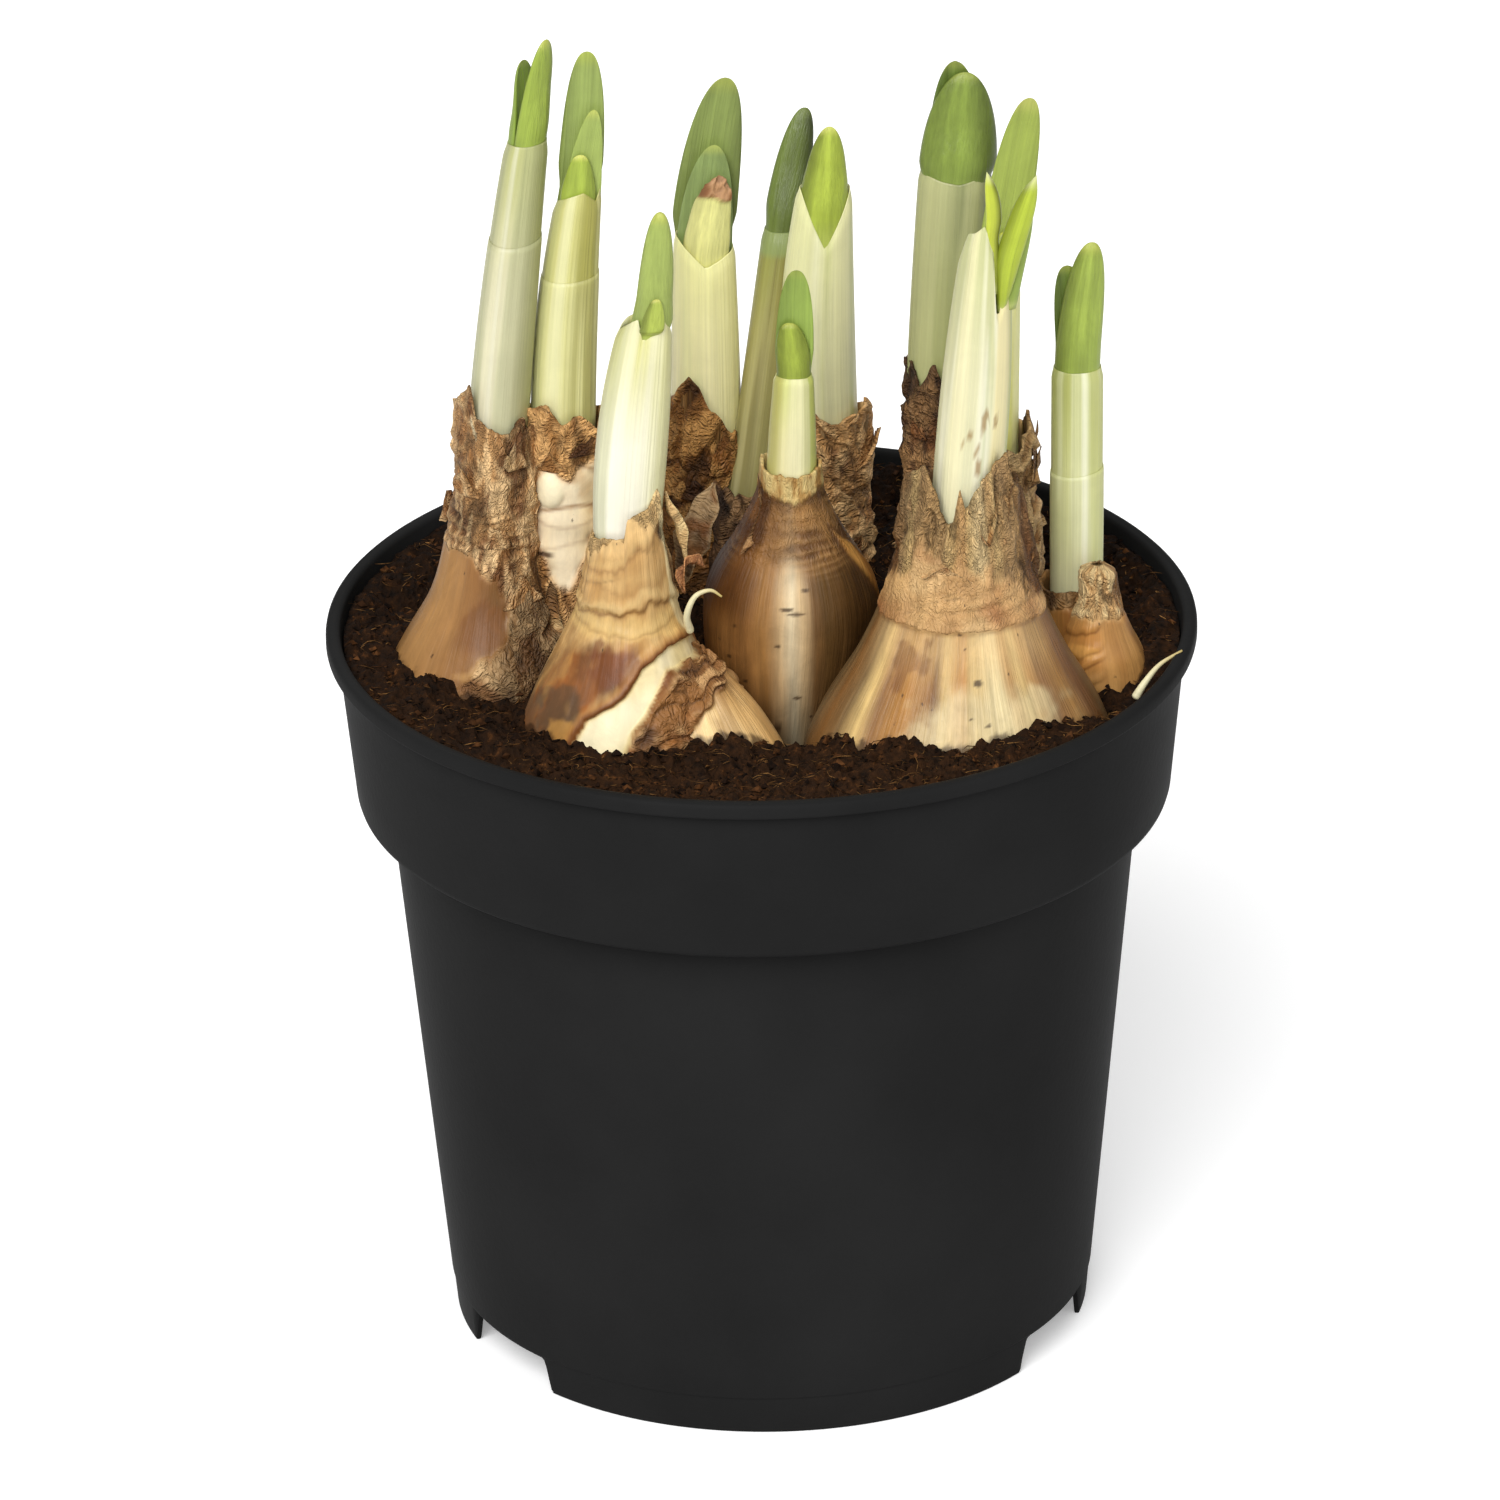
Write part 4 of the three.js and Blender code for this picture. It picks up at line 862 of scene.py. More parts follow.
class Skin:
    """The skin of one nose: where its points lie, and their look while marks are laid on one by one.

    tint: colour. out: height over the smooth oval in mm. crease: painted shade in a fold. dry: 1 on torn
    paper.
    lined: how clearly the fibres show. clean: 1 where no soil stain and no painted shade lie at the soil
    line.
    """

    def __init__(self, nose, angle, z, fibre=None):
        self.nose, self.angle, self.z, self.fibre = nose, angle, z, fibre

    def flat(self):
        """The skin laid flat with the front (-90 degrees) at 0: millimetres round the belly, and height."""
        turned = (np.degrees(self.angle) + 270) % 360 - 180
        return np.radians(turned) * LAID_FLAT * belly_of(self.nose), self.z

    def rough(self, size, octaves, seed, stretch=(1, 1)):
        """Rough noise on the skin; stretch below 1 makes it longer round the turn or up the skin."""
        level, upright = stretch
        return rough(self.fibre * [level, level, upright], size, octaves, seed)

    def inside(self, outline):
        """Distance in mm inside a closed outline of (degrees, height) corners; negative outside."""
        if not outline:
            return -99.0 + 0 * self.angle * self.z
        px, py = np.broadcast_arrays(*self.flat())
        degrees, cy = np.array(outline, float).T
        cx = np.radians(degrees + 90) * LAID_FLAT * belly_of(self.nose)
        away, inside = np.full(px.shape, 1e9), np.zeros(px.shape, bool)
        for ax, ay, bx, by in zip(cx, cy, np.roll(cx, -1), np.roll(cy, -1)):
            dx, dy = bx - ax, by - ay
            t = np.clip(((px - ax) * dx + (py - ay) * dy) / (dx ** 2 + dy ** 2), 0, 1)
            away = np.minimum(away, np.hypot(px - ax - t * dx, py - ay - t * dy))
            crossed = (ay > py) != (by > py)
            inside ^= crossed & (px < ax + (py - ay) * (bx - ax) / np.where(by == ay, 1e-9, by - ay))
        return np.where(inside, away, -away)

    def blob(self, degrees, height, wide, tall, seed, wobble=0.5):
        """1 inside a soft oval spot, 0 outside; the edge wobbles."""
        x, y = self.flat()
        middle = math.radians((degrees + 270) % 360 - 180) * LAID_FLAT * belly_of(self.nose)
        off = np.hypot((x - middle) / wide, (y - height) / tall)
        return ease((1.15 - off + wobble * rough(xyz(x, y, seed + 0 * x), 3, 3, seed)) / 0.5)

    def paint(self, shade, share):
        """Mixes shade in by share."""
        self.tint = mix(self.tint, shade, share)

    def darken(self, share):
        """Takes that share of the light away."""
        self.tint = self.tint * (1 - share)[..., None]

    def spots(self, rows):
        """Paints blobs one over another. Each row: colour, strength, then what blob takes."""
        for shade, strength, *place in rows:
            self.paint(shade, strength * self.blob(*place))

    def wrinkle(self, wave, present, zone, deep, dark, narrow):
        """Raises the skin between the valleys of pleats and paints shade into the valleys."""
        self.out = self.out + deep * (wave - 0.64) * present * zone
        self.crease = np.maximum(self.crease, dark * ease((narrow - wave) / narrow) * present * zone)


# %% Marks
DARK, BROWN, RUSSET, TAN, GOLD = "#4a3017", "#73491f", "#83502a", "#b38450", "#b8813f"
CREAM, PALE, AMBER, GREY = "#dfc188", "#eddcb4", "#bf8040", "#7a6144"


def round_the_turn(stops, angle):
    """A colour for each angle, between stops (degrees, hex code)."""
    return np.stack([turning([(d, colour(c)[k]) for d, c in stops], angle) for k in range(3)], -1)


def dark_folds(on, share):
    """Where share is 1: crumpled skin in folds that rise to the right and run on from bulb to bulb."""
    p = on_nose(on.nose, on.angle, on.z)
    across = 0.79 * (0.428 * p[..., 1] + 0.904 * on.z) - 0.61 * p[..., 0]
    slope = np.abs(np.sin(np.pi * (across / 3.2 + 1.7 * rough(p, 6, 3, 370))))
    tone = mix("#97693f", "#5f412b", ease(0.4 + 1.4 * rough(p, 6, 3, 371)))
    # painted highlight on the crests of the folds
    tone = mix(tone, "#d8ad7e", 0.8 * ease((slope - 0.7) / 0.3) * ease(0.5 + 1.6 * rough(p, 4, 3, 372)))
    tone = mix(tone, "#a9652f", 0.4 * ease((rough(p, 5, 2, 374) - 0.2) / 0.3))
    on.paint(tone, share)
    on.out = on.out * (1 - share) + share * (0.9 + 0.9 * (slope - 0.6) + 0.8 * paper_relief(p, 6, 376))
    # painted shade in the troughs of the folds
    on.crease = mix(on.crease, ease((0.28 - slope) / 0.28), share)
    on.dry = np.maximum(on.dry * (1 - share), 0.7 * share)


# %% Marks of the left bulbs
def marks_of_a(on):
    """Brown stops round a smooth belly, darker paper at its right foot, partly painted shade, and level
    pleats up the neck with painted shade in their valleys and painted highlights on their crests.
    """
    smooth, z = 1 - on.dry, on.z
    stops = [(-180, "#8f6a3c"), (-150, "#aa7f50"), (-125, "#a0754a"), (-105, "#8c5f34"), (-88, "#74532f"),
             (-60, "#5f4528"), (60, "#8f6a3c")]
    on.paint(round_the_turn(stops, on.angle + 0.1 * on.rough(8, 3, 355)) * 0.85, 0.75 * smooth)
    on.spots([("#7c4a20", 0.5 * smooth, -94, 135, 5, 5, 351),
              ("#c39c6c", 0.6 * smooth, -125, 122, 13, 3.5, 353),
              ("#c79b66", 0.7 * smooth, -88, 127.5, 5, 1.2, 357)])
    # darker paper at the right foot: partly its own brown, partly painted shade
    on.paint("#4a3520", 0.7 * (ease((on.flat()[0] + 2) / 6) * ease((146 - z) / 8) * on.dry))
    on.spots([("#eadcc0", 0.9, -121, 165, 0.9, 1.1, 359, 0.3),
              ("#c58a54", 0.8, -127, 159, 1.3, 3.0, 361, 0.3)])
    wave, present = pleats(on.fibre, z, 2.3, 362)
    zone = on.dry * ease((z - 140) / 6)
    on.out = on.out * (1 - 0.2 * zone) + 0.55 * (wave - 0.6) * (0.3 + 0.7 * present) * zone
    # painted shade in the valleys of the pleats and a painted highlight on their crests
    on.crease = np.maximum(on.crease, 0.7 * ease((0.25 - wave) / 0.25) * present * zone)
    on.paint("#deb78a", 0.6 * zone * ease((wave - 0.75) / 0.25) * present)
    on.dry = np.maximum(on.dry, 0.35)


def marks_of_b(on):
    """White flesh with a round swelling, thin brown rings and one dark scar."""
    x, y = on.flat()
    swell = np.sqrt(np.clip(1 - (np.hypot(x + 2.8, (y - 155.9) * 1.1) / 3.0) ** 2, 0, 1))
    on.paint("#faf3df", 0.9 * ease(swell / 0.5))
    on.paint("#cfa879", 0.5 * ease((on.rough(5, 3, 364) - 0.2) / 0.3) * (1 - swell))
    rings = np.max([bell(y - height - 0.6 * np.sin(2.4 * on.angle + height), 0.35) * amount
                    for height, amount in ((152.9, 0.9), (159.4, 0.8), (150.2, 0.35), (146.0, 0.3))], axis=0)
    on.paint("#9a6a40", 0.8 * rings * (1 - on.dry))
    on.spots([("#4a3020", 0.9, -122, 144.6, 3.2, 0.7, 365, 0.3)])
    on.out = on.out + 0.8 * swell + 0.14 * np.sin((y - 140) * 0.9 + on.angle) * (1 - on.dry) * (1 - swell)
    on.crease = np.maximum(on.crease, 0.3 * rings)


# %% Marks of the front left bulb
def marks_of_c(on):
    """A strip of bare flesh with a scalloped edge; rust left of it, dark folds right, level folds above."""
    angle, z, edge = on.angle, on.z, 0.9 * on.rough(3, 3, 301)
    rust = on.inside([(-160, 138.5), (-110, 141), (-62, 141.5), (-70, 139), (-80, 136.5), (-88, 133),
                      (-104, 130), (-119, 126.5), (-121, 118), (-172, 118), (-190, 122), (-180, 130)])
    strip = on.inside([(8, 135), (-28, 135.2), (-55, 135.4), (-72, 131.0), (-84, 127.2), (-89, 122),
                       (-89, 112), (-124, 112), (-121, 124.5), (-115, 128.6), (-98, 131.2), (-86, 134),
                       (-78, 136.8), (-63, 138.6), (-30, 139.2), (8, 137.5)]) + 0.5 * edge
    red = mix("#9a5a28", "#623818", ease(0.45 + 1.3 * on.rough(6, 4, 305, (1, 0.7))))
    red = mix(red, "#b98348", 0.85 * ease(on.rough(4, 3, 309, (1, 0.8)) * 2.6 - 0.2))
    on.paint(red, 0.95 * ease((rust + 1.8 * edge) / 2.6))
    on.spots([("#554637", 0.65, -138, 128, 7, 4, 311, 1.3), ("#6d5a49", 0.6, -172, 127, 6, 6, 315, 1.2),
              ("#c1904f", 0.75, -120, 124.5, 5, 3, 313, 1.3), ("#6f3d1f", 0.7, -101, 136.5, 6, 3.5, 319, 1.2),
              ("#a57b4d", 0.6, -163, 136, 5, 5, 317, 1.2)])
    above_140 = z + edge - 140.6 + 4 * ease((np.cos(angle - 0.2) - 0.4) / 0.6)
    on.paint("#e3bf83", 0.85 * (ease(above_140 / 1.2) * ease((144.6 - z - edge) / 1.2)))
    # each level fold: painted shade as a dark line in its valley and a painted highlight on the raised band
    # above
    for height, amount in ((142.2, 0.3), (144.4, 0.6), (146.9, 0.2), (149.6, 0.35), (152.4, 0.25)):
        wave = z + 0.9 * edge + 0.5 * np.sin(2.2 * angle + height) - height
        on.paint("#7a4c27", amount * bell(wave, 0.28))
        on.paint("#f0d6a2", 0.7 * amount * bell(wave - 0.9, 0.55))
        on.out = on.out + 0.35 * amount * bell(wave - 0.7, 0.6)
    beside = ease((on.inside([(-90, 112), (-87, 126), (-70, 131.5), (-50, 135), (-20, 135.2), (30, 134),
                              (40, 112)]) + 0.6) / 0.8)
    on.paint("#a9723c", 0.7 * ease((strip + 2.0) / 1.2) * ease((0.4 - strip) / 0.4) * (1 - beside))
    on.paint("#6b3a18", 0.85 * (ease((strip + 1.2) / 0.8) * ease((0.4 - strip) / 0.4)))
    bare = ease((strip - 0.1) / 0.4)
    on.paint(mix("#f6edd4", "#e8d6a8", ease(0.3 + on.rough(7, 2, 321))), bare)
    on.paint("#e9d193", 0.7 * bare * ease((1.0 - strip) / 0.9))
    bright = on.inside([(-50, 155), (-34, 149), (-36, 145), (-14, 138.5), (10, 138), (10, 142.5), (-12, 148),
                        (-20, 155)])
    on.paint("#f3e4bd", 0.9 * ease((bright + 0.7 * edge) / 1.0))
    lip = ease((strip + 2.2) / 1.2) * ease((0.2 - strip) / 0.5)
    on.out = on.out - 0.55 * ease((strip + 0.3) / 0.7) + 0.4 * lip
    on.out = on.out + 0.5 * ease((z + 0.8 * edge - 144.4) / 0.6) * ease((158 - z) / 8)
    on.darken(0.12 * ease((z - 141) / 3))
    high = ease((z + edge - 150.2) / 1.6)
    on.paint("#e9c591", 0.75 * high)
    on.clean, on.crease = bare, on.crease * (1 - bare) * (1 - 0.7 * high)
    on.dry = np.maximum(on.dry * (1 - bare), 0.3 * (1 - bare) * ease((140 - z) / 4))
    on.lined = on.lined * (1 - 0.9 * bare) * (1 - 0.7 * ease(rust / 2))
    dark_folds(on, beside * (1 - bare))


def marks_of_lobe(on):
    """Dark folds cover the left side of the lobe; the rest is light tan."""
    on.paint("#8a5f3a", 0.6 * (1 - on.dry) * ease((on.z - 128) / 4))
    on.paint("#8f6238", 0.4 * ease((on.rough(3, 3, 373, (1, 0.2)) - 0.1) / 0.2))
    on.out = on.out * (1 - 0.5 * on.dry)
    dark_folds(on, on.dry)


# %% Marks of the middle bulb
def marks_of_g(on):
    """Dull brown skin, darker at the sides and foot partly with painted shade, a pale stripe that is a
    painted highlight, level wrinkles at the neck, a straw ring and a tan flap.
    """
    angle, z = on.angle, on.z
    # the stops paint a highlight down the front, the pale stripe near -87 degrees, and darker skin on both
    # sides that is partly painted shade, darkest at the right
    stops = [(-180, "#694524"), (-150, "#7a512a"), (-120, "#8e6136"), (-106, "#a87b4a"), (-96, "#d2b591"),
             (-87, "#eedfc6"), (-80, "#ceb390"), (-73, "#7d5c3a"), (-63, "#5f4525"), (-50, "#573d20"),
             (-30, "#4a3116"), (0, "#33220f"), (90, "#5d4120")]
    on.paint(round_the_turn(stops, angle + 0.1 * on.rough(5, 3, 349, (1, 0.2)) + 0.004 * (z - 133)), 0.92)
    # painted shade, darker towards the foot
    on.tint = on.tint * (0.45 + 0.55 * ease((z - 114) / 20))[..., None]
    fine = on.rough(1.6, 3, 350, (1, 0.12))
    on.tint = on.tint * (0.88 + 0.22 * fine)[..., None]
    neck = ease((z - 143 + 1.5 * on.rough(5, 2, 348)) / 6)
    on.paint(mix("#a67a4a", "#6c4826", ease(0.45 + 1.4 * on.rough(5, 3, 351, (0.6, 1.6)))), 0.85 * neck)
    # painted shade on the right side of the neck
    on.darken(0.35 * ease((np.cos(angle - 0.2) - 0.45) / 0.5) * neck)
    left = ease((-np.cos(angle) - 0.35) / 0.4) * ease((z - 134) / 6)
    on.tint = on.tint * (1 - left[..., None] * [0.55, 0.65, 0.8])  # painted shade, with more golden skin
    flap = on.inside([(-34, 150.5), (-12, 148), (6, 141), (2, 134), (-14, 140), (-26, 146)])
    on.paint(mix("#c6924f", "#a06d33", ease(0.5 + 1.2 * fine)), 0.9 * ease(flap / 0.8))
    on.paint("#5b3a1c", 0.8 * ease((flap + 0.9) / 0.6) * ease((0.2 - flap) / 0.4))
    ring = ease((z - 154.6 + 0.5 * np.sin(3 * angle) + 0.5 * fine) / 0.8)
    on.paint(mix("#e6cf96", "#b98f55", ease(0.35 + 1.5 * on.rough(3, 3, 352))), 0.9 * ring)
    on.spots(("#3d2815", 0.85, degrees, high, wide, 0.35, 346, 0.3) for degrees, high, wide in (
        (-92, 140, 1.0), (-86, 139.2, 1.3), (-79, 143, 0.5), (-97, 133.5, 0.4), (-83, 123.5, 0.6),
        (-96, 117, 0.7), (-129, 136, 0.4), (-134, 130, 0.5), (-120, 126, 0.4)))
    wave, present = pleats(on.fibre, z, 1.1, 353)
    zone = ease((z - 142) / 6) * (1 - 0.4 * ring) * (1 - ease(flap / 0.8))
    # painted highlight on the crests of the wrinkles
    on.paint("#cba274", 0.25 * zone * ease((wave - 0.7) / 0.3) * present)
    on.out = on.out + 0.5 * ease(flap / 0.8) + 0.35 * ring
    on.wrinkle(wave, present, zone, 0.22, 0.35, 0.3)
    # painted shade under the straw ring's lower edge
    on.crease = np.maximum(on.crease, 0.6 * bell(z - 154.4, 0.4))
    on.dry, on.lined = np.maximum(on.dry, 0.35 + 0.25 * neck), 0.7 + 0 * z


# %% Marks of the right bulbs
def marks_of_h(on):
    """The top is darker."""
    on.darken(0.42 * ease((on.z - 153) / 7))


def marks_of_j(on):
    """Cream, gold and russet stripes round the belly, and above a wavy line a second, wrinkled skin."""
    angle, z, edge = on.angle, on.z, on.rough(4, 3, 331)
    stops = [(-180, DARK), (-163, BROWN), (-152, GREY), (-143, CREAM), (-134, RUSSET), (-123, GOLD),
             (-114, TAN), (-107, BROWN), (-101, CREAM), (-93, GOLD), (-88, AMBER), (-83, CREAM),
             (-74, PALE), (-64, PALE), (-58, TAN), (-53, CREAM), (-47, TAN), (-39, RUSSET), (-30, GOLD),
             (-21, RUSSET), (-8, BROWN), (90, BROWN)]
    on.paint(round_the_turn(stops, angle + 0.09 * on.rough(6, 3, 335, (1, 0.15)) + 0.002 * (z - 125)), 0.85)
    on.spots([("#ecdcb6", 0.6, -76, 125, 15, 8, 333)])
    on.paint("#d9b98c", 0.55 * ease((z - 132) / 8) * ease((np.cos(angle + 1.57) - 0.2) / 0.5))
    on.darken(0.25 * ease((124 - z) / 4))
    # painted shade on the right side
    on.darken(0.3 * ease((np.cos(angle) - 0.35) / 0.6))
    line_z = 141.6 + 1.5 * np.sin(np.clip(angle + np.pi, 0, np.pi)) + 0.6 * edge
    upper = ease((z - line_z) / 0.7)
    above = mix("#d9b080", "#aa7c52", ease(0.45 + 1.5 * on.rough(7, 4, 337, (0.5, 1))))
    above = mix(above, "#e0bd90", 0.7 * ease((on.rough(6, 3, 339, (0.4, 1.2)) - 0.05) / 0.3))
    above = mix(above, "#a8663f", 0.4 * ease((on.rough(7, 2, 340, (0.4, 1.2)) - 0.15) / 0.3))
    on.paint(above, 0.9 * upper * (1 - on.dry))
    # painted shade on the upper left of the neck
    on.darken(0.22 * ease((-np.cos(angle) - 0.15) / 0.5) * ease((z - 149) / 4))
    on.paint("#7a5333", 0.5 * bell(z - line_z, 0.35) * ease(0.5 + edge))
    on.spots([("#74472b", 0.5, -125, 136.5, 4, 3.5, 341, 1.4)])
    on.spots(("#3f2a18", 0.85, degrees, high, size, 0.6 * size, 347, 0.3) for degrees, high, size in (
        (-93, 141.8, 0.5), (-89, 139.5, 0.4), (-82, 134.2, 0.9), (-86, 129, 0.4), (-78, 127.8, 0.5)))
    wave, present = pleats(on.fibre, z + 2.0 * np.sin(angle * 2), 2.7, 343)
    on.out = on.out + upper * 0.4 * ease((159 - z) / 6)
    on.wrinkle(wave, present, upper * ease((158 - z) / 4) * (1 - 0.6 * on.dry), 0.42, 0.8, 0.2)
    on.dry, on.lined = np.maximum(on.dry, 0.62 * upper), on.lined * (1 - 0.7 * upper)


def marks_of_k_stub(on):
    """Orange folded skin on the left below the dried neck, smooth tan on the right."""
    x, y = on.flat()
    left = ease((-x + 1.5) / 2.5)
    on.paint("#c08547", 0.75 * left * ease((134 - on.z) / 3) * ease((on.z - 123) / 4))
    on.spots([("#e0a860", 0.7 * left, -120, 128.5, 3.5, 1.2, 375)])
    # painted shade as dark lines in the valleys of the folds
    for height, amount in ((132, 0.6), (128.6, 0.4), (126.4, 0.6), (122.8, 0.5)):
        wave = y - height - 0.3 * x - 0.06 * (x + 4) ** 2 + 1.2 * on.rough(5, 3, 377)
        on.paint("#74441f", amount * left * bell(wave, 0.28))
        on.out = on.out + 0.28 * left * amount * bell(wave - 0.8, 0.6)
    on.paint("#8a5c34", 0.5 * (1 - left) * ease((on.rough(2.5, 3, 379, (1, 0.1)) - 0.05) / 0.2))


MARKS = {"A": marks_of_a, "B": marks_of_b, "C": marks_of_c, "C_lobe": marks_of_lobe, "G": marks_of_g,
         "H": marks_of_h, "J": marks_of_j, "K_stub": marks_of_k_stub}


# %% Nose surface
IN_SOIL = 119  # below this height a nose has few rows, because the soil hides it
RIM_ZONE = 12  # the torn edge lifts this much of the skin below it
PAPER_DEPTH = 2.4  # of the folds in torn paper, before the nose's own crumple
# CUP_SHADES darken the rings down inside a mouth: painted shade in the cup
CUP_DEPTHS, CUP_SHADES = (0.0, 1.5, 5, 9), (0.9, 0.6, 0.4, 0.3)  # of the rings that close a mouth
STUB_DEPTHS, STUB_SHADES = (0.0, 0.3, 0.6, 1.0), (1, 1, 1, 1)  # and a dry tip


def nose_surface(name, nose):
    """Outside, torn rim and inner cup of one nose as a closed skin, with all that its finish reads."""
    seed, fine = nose["seed"], nose["fine"]
    columns, rows = int((50 + 5 * belly_of(nose)) * fine), int(88 * fine)
    low, high = nose["girth"][0][0], nose["girth"][-1][0]
    angle = full_turn(columns)[None]
    z = np.concatenate([np.linspace(low, IN_SOIL, 12)[:-1],
                        np.linspace(IN_SOIL, high, rows)])[:, None] + 0 * angle
    share = ease((z - high + RIM_ZONE) / RIM_ZONE)
    near_rim = fibre_of(nose, angle, 0 * angle)
    rag = rough(near_rim, 3.0, 3, seed + 9) + 0.5 * zigzag(8 * angle + 5 * noise(near_rim, 9, seed))
    rise = turning(nose["rim"], angle) + rag * nose.get("rag", nose["crumple"])
    fibre = fibre_of(nose, angle, z + rise * share)
    on = Skin(nose, angle, z, fibre)
    bare = ease((on.inside(nose["bare"]) + 1.6 * on.rough(4, 3, seed)) / 1.6 + 0.5)
    slanted = fibre + nose["slant"] * xyz(0 * z, 0 * z, fibre[..., 0])
    relief = paper_relief(slanted * [1, 1, nose["grain"]], nose["fold"], seed)
    ribs, dents = on.rough(3.4, 3, seed + 1, (1, 0.12)), on.rough(11, 2, seed + 3, (1, 0.5))
    on.dry, on.clean = 1 - bare, 0 * z
    on.out = (0.3 * ribs + 0.4 * dents) * bare + nose["crumple"] * PAPER_DEPTH * relief * on.dry
    on.crease = in_folds(relief) * on.dry
    on.tint = mix(*nose["skin"], ease(0.5 + 1.1 * on.rough(7, 4, seed + 20, (1, 0.25))))
    if "pleats" in nose:
        foot, top, deep, shade = nose["pleats"]
        zone = ease((z - foot) / 3) * ease((top + 2 - z) / 2) * bare
        on.wrinkle(*pleats(fibre, z, 2.4, seed + 8), zone, deep, 0.6, 0.22)
        on.paint(shade, 0.6 * zone)
    on.paint(paper_tint(nose["paper"], fibre, relief, seed), on.dry)
    on.lined = nose["lined"] * bare + 0.15 * on.dry
    if name in MARKS:
        MARKS[name](on)
    points = on_nose(nose, angle, z, on.out)
    above = z - soil_level(points[..., 0], points[..., 1])
    # soil stain and painted shade just above the soil line
    soil_stain_and_shade = 2.0 + 1.2 * rough(fibre, 6, 2, seed + 41) + 2.2 * rough(fibre, 1.8, 3, seed + 40)
    on.paint("#3a2516", 0.8 * (ease((soil_stain_and_shade - above) / 1.4) * (1 - on.clean)))
    points[..., 2] += rise * share
    depths, shades = (CUP_DEPTHS, CUP_SHADES) if nose["shoot"] else (STUB_DEPTHS, STUB_SHADES)
    inner = [on_nose(nose, angle, high - d + 0 * angle, on.out[-1:] * (1 - d / 9) - 0.5 - 0.1 * d)
             for d in depths]
    for ring, lifted in zip(inner, (1, 0.8, 0.4, 0)):
        ring[..., 2] += rise * lifted
    # painted shade down inside the cup
    tints = np.concatenate([on.tint] + [on.tint[-1:] * s for s in shades])
    return skin(np.concatenate([points, *inner]),
                worn(tints * WARM, *(held(v, 4) for v in (fibre, on.crease, on.dry, on.lined))))


# %% [markdown]
# ## Torn paper
# Round every neck the old tunics break into flakes: curled scraps with ragged, pointed tops. Each is a thin
# sheet over a patch of the neck, held at its foot and standing off more towards its tip, crumpled by the
# same folds.

# %% Flakes
FLAKE_THICK = 0.2
def flake(nose, centre, wide, foot, tall, stand, seed, point=0.6, dark=0.0, lean=0.0, curl=0.0, paper=None,
          base=0.25):
    """A scrap of tunic: columns run round the neck (degrees), rows from its foot upwards."""
    small = tall < 9
    u, v = np.linspace(-1, 1, 11 if small else 25)[None], np.linspace(0, 1, 10 if small else 30)[:, None]
    jag = 0.6 * zigzag(5 * u + seed) + 0.4 * zigzag(13 * u + 3 * seed)
    height = tall * (1 - point * np.abs(u + 0.3 * np.sin(seed)) ** 1.4) * (1 + 0.22 * jag * min(1, 7 / tall))
    angle = np.radians(centre + 0.5 * wide * u * (1 - 0.45 * v * point) + lean * v)
    z = foot + height * v
    place = fibre_of(nose, angle, z)
    relief = paper_relief(place * [1, 1, 0.7] + 5 * seed, 5 if small else 6, int(seed) + 50)
    out = (base + stand * v ** 1.6 + 1.8 * relief * (0.3 + v) + 0.4 * stand * v * np.sin(2.3 * u + seed)
           + curl * v ** 3)
    points = on_nose(nose, angle, np.minimum(z, nose["girth"][-1][0]), out)
    points[..., 2] = z - 0.5 * curl * v ** 4
    tint = paper_tint(paper or nose["paper"], place, relief, int(seed) + 60) * (1 - 0.35 * dark)
    tint = mix(tint, tint * 0.5, 0.7 * ease((v - 0.88) / 0.12))
    crease = in_folds(relief)
    return sheet(points, FLAKE_THICK * (1 - 0.6 * v) + 0 * u, worn(tint * WARM, place, crease, 0.9, 0.15))


def scrap(path, across, wide, keel, seed, paper, lit=0.0):
    """A free scrap of tunic along a path: pointed at both ends and folded along its middle."""
    middle = through(path, 26)
    t, u = np.linspace(0, 1, 26)[:, None], np.linspace(-1, 1, 11)[None]
    across = np.array(across, float) / np.linalg.norm(across)
    ahead = np.gradient(middle, axis=0)
    out = np.cross(across, ahead)
    out = (out / np.linalg.norm(out, axis=1, keepdims=True))[:, None]
    half = wide * (np.sin(np.pi * np.clip(t, 0.02, 0.98)) ** 0.8 * (1 + 0.2 * zigzag(17 * t + seed)))
    place = xyz(2 * u + 0 * t, 0 * t * u, 20 * t + 9 * seed + 0 * u)
    relief = paper_relief(place, 4, int(seed) + 80)
    raised = keel * half * np.abs(u) + 0.5 * relief
    points = middle[:, None] + across * (half * u)[..., None] + out * raised[..., None]
    tint = paper_tint(paper, place, relief, int(seed) + 90)
    tint = mix(tint, colour(paper[0]), ease((np.abs(u) - 0.75) / 0.25) + lit + 0 * t)
    crease = in_folds(relief)
    return sheet(points, FLAKE_THICK, worn(tint * WARM, place, crease, 0.7, 0.4))


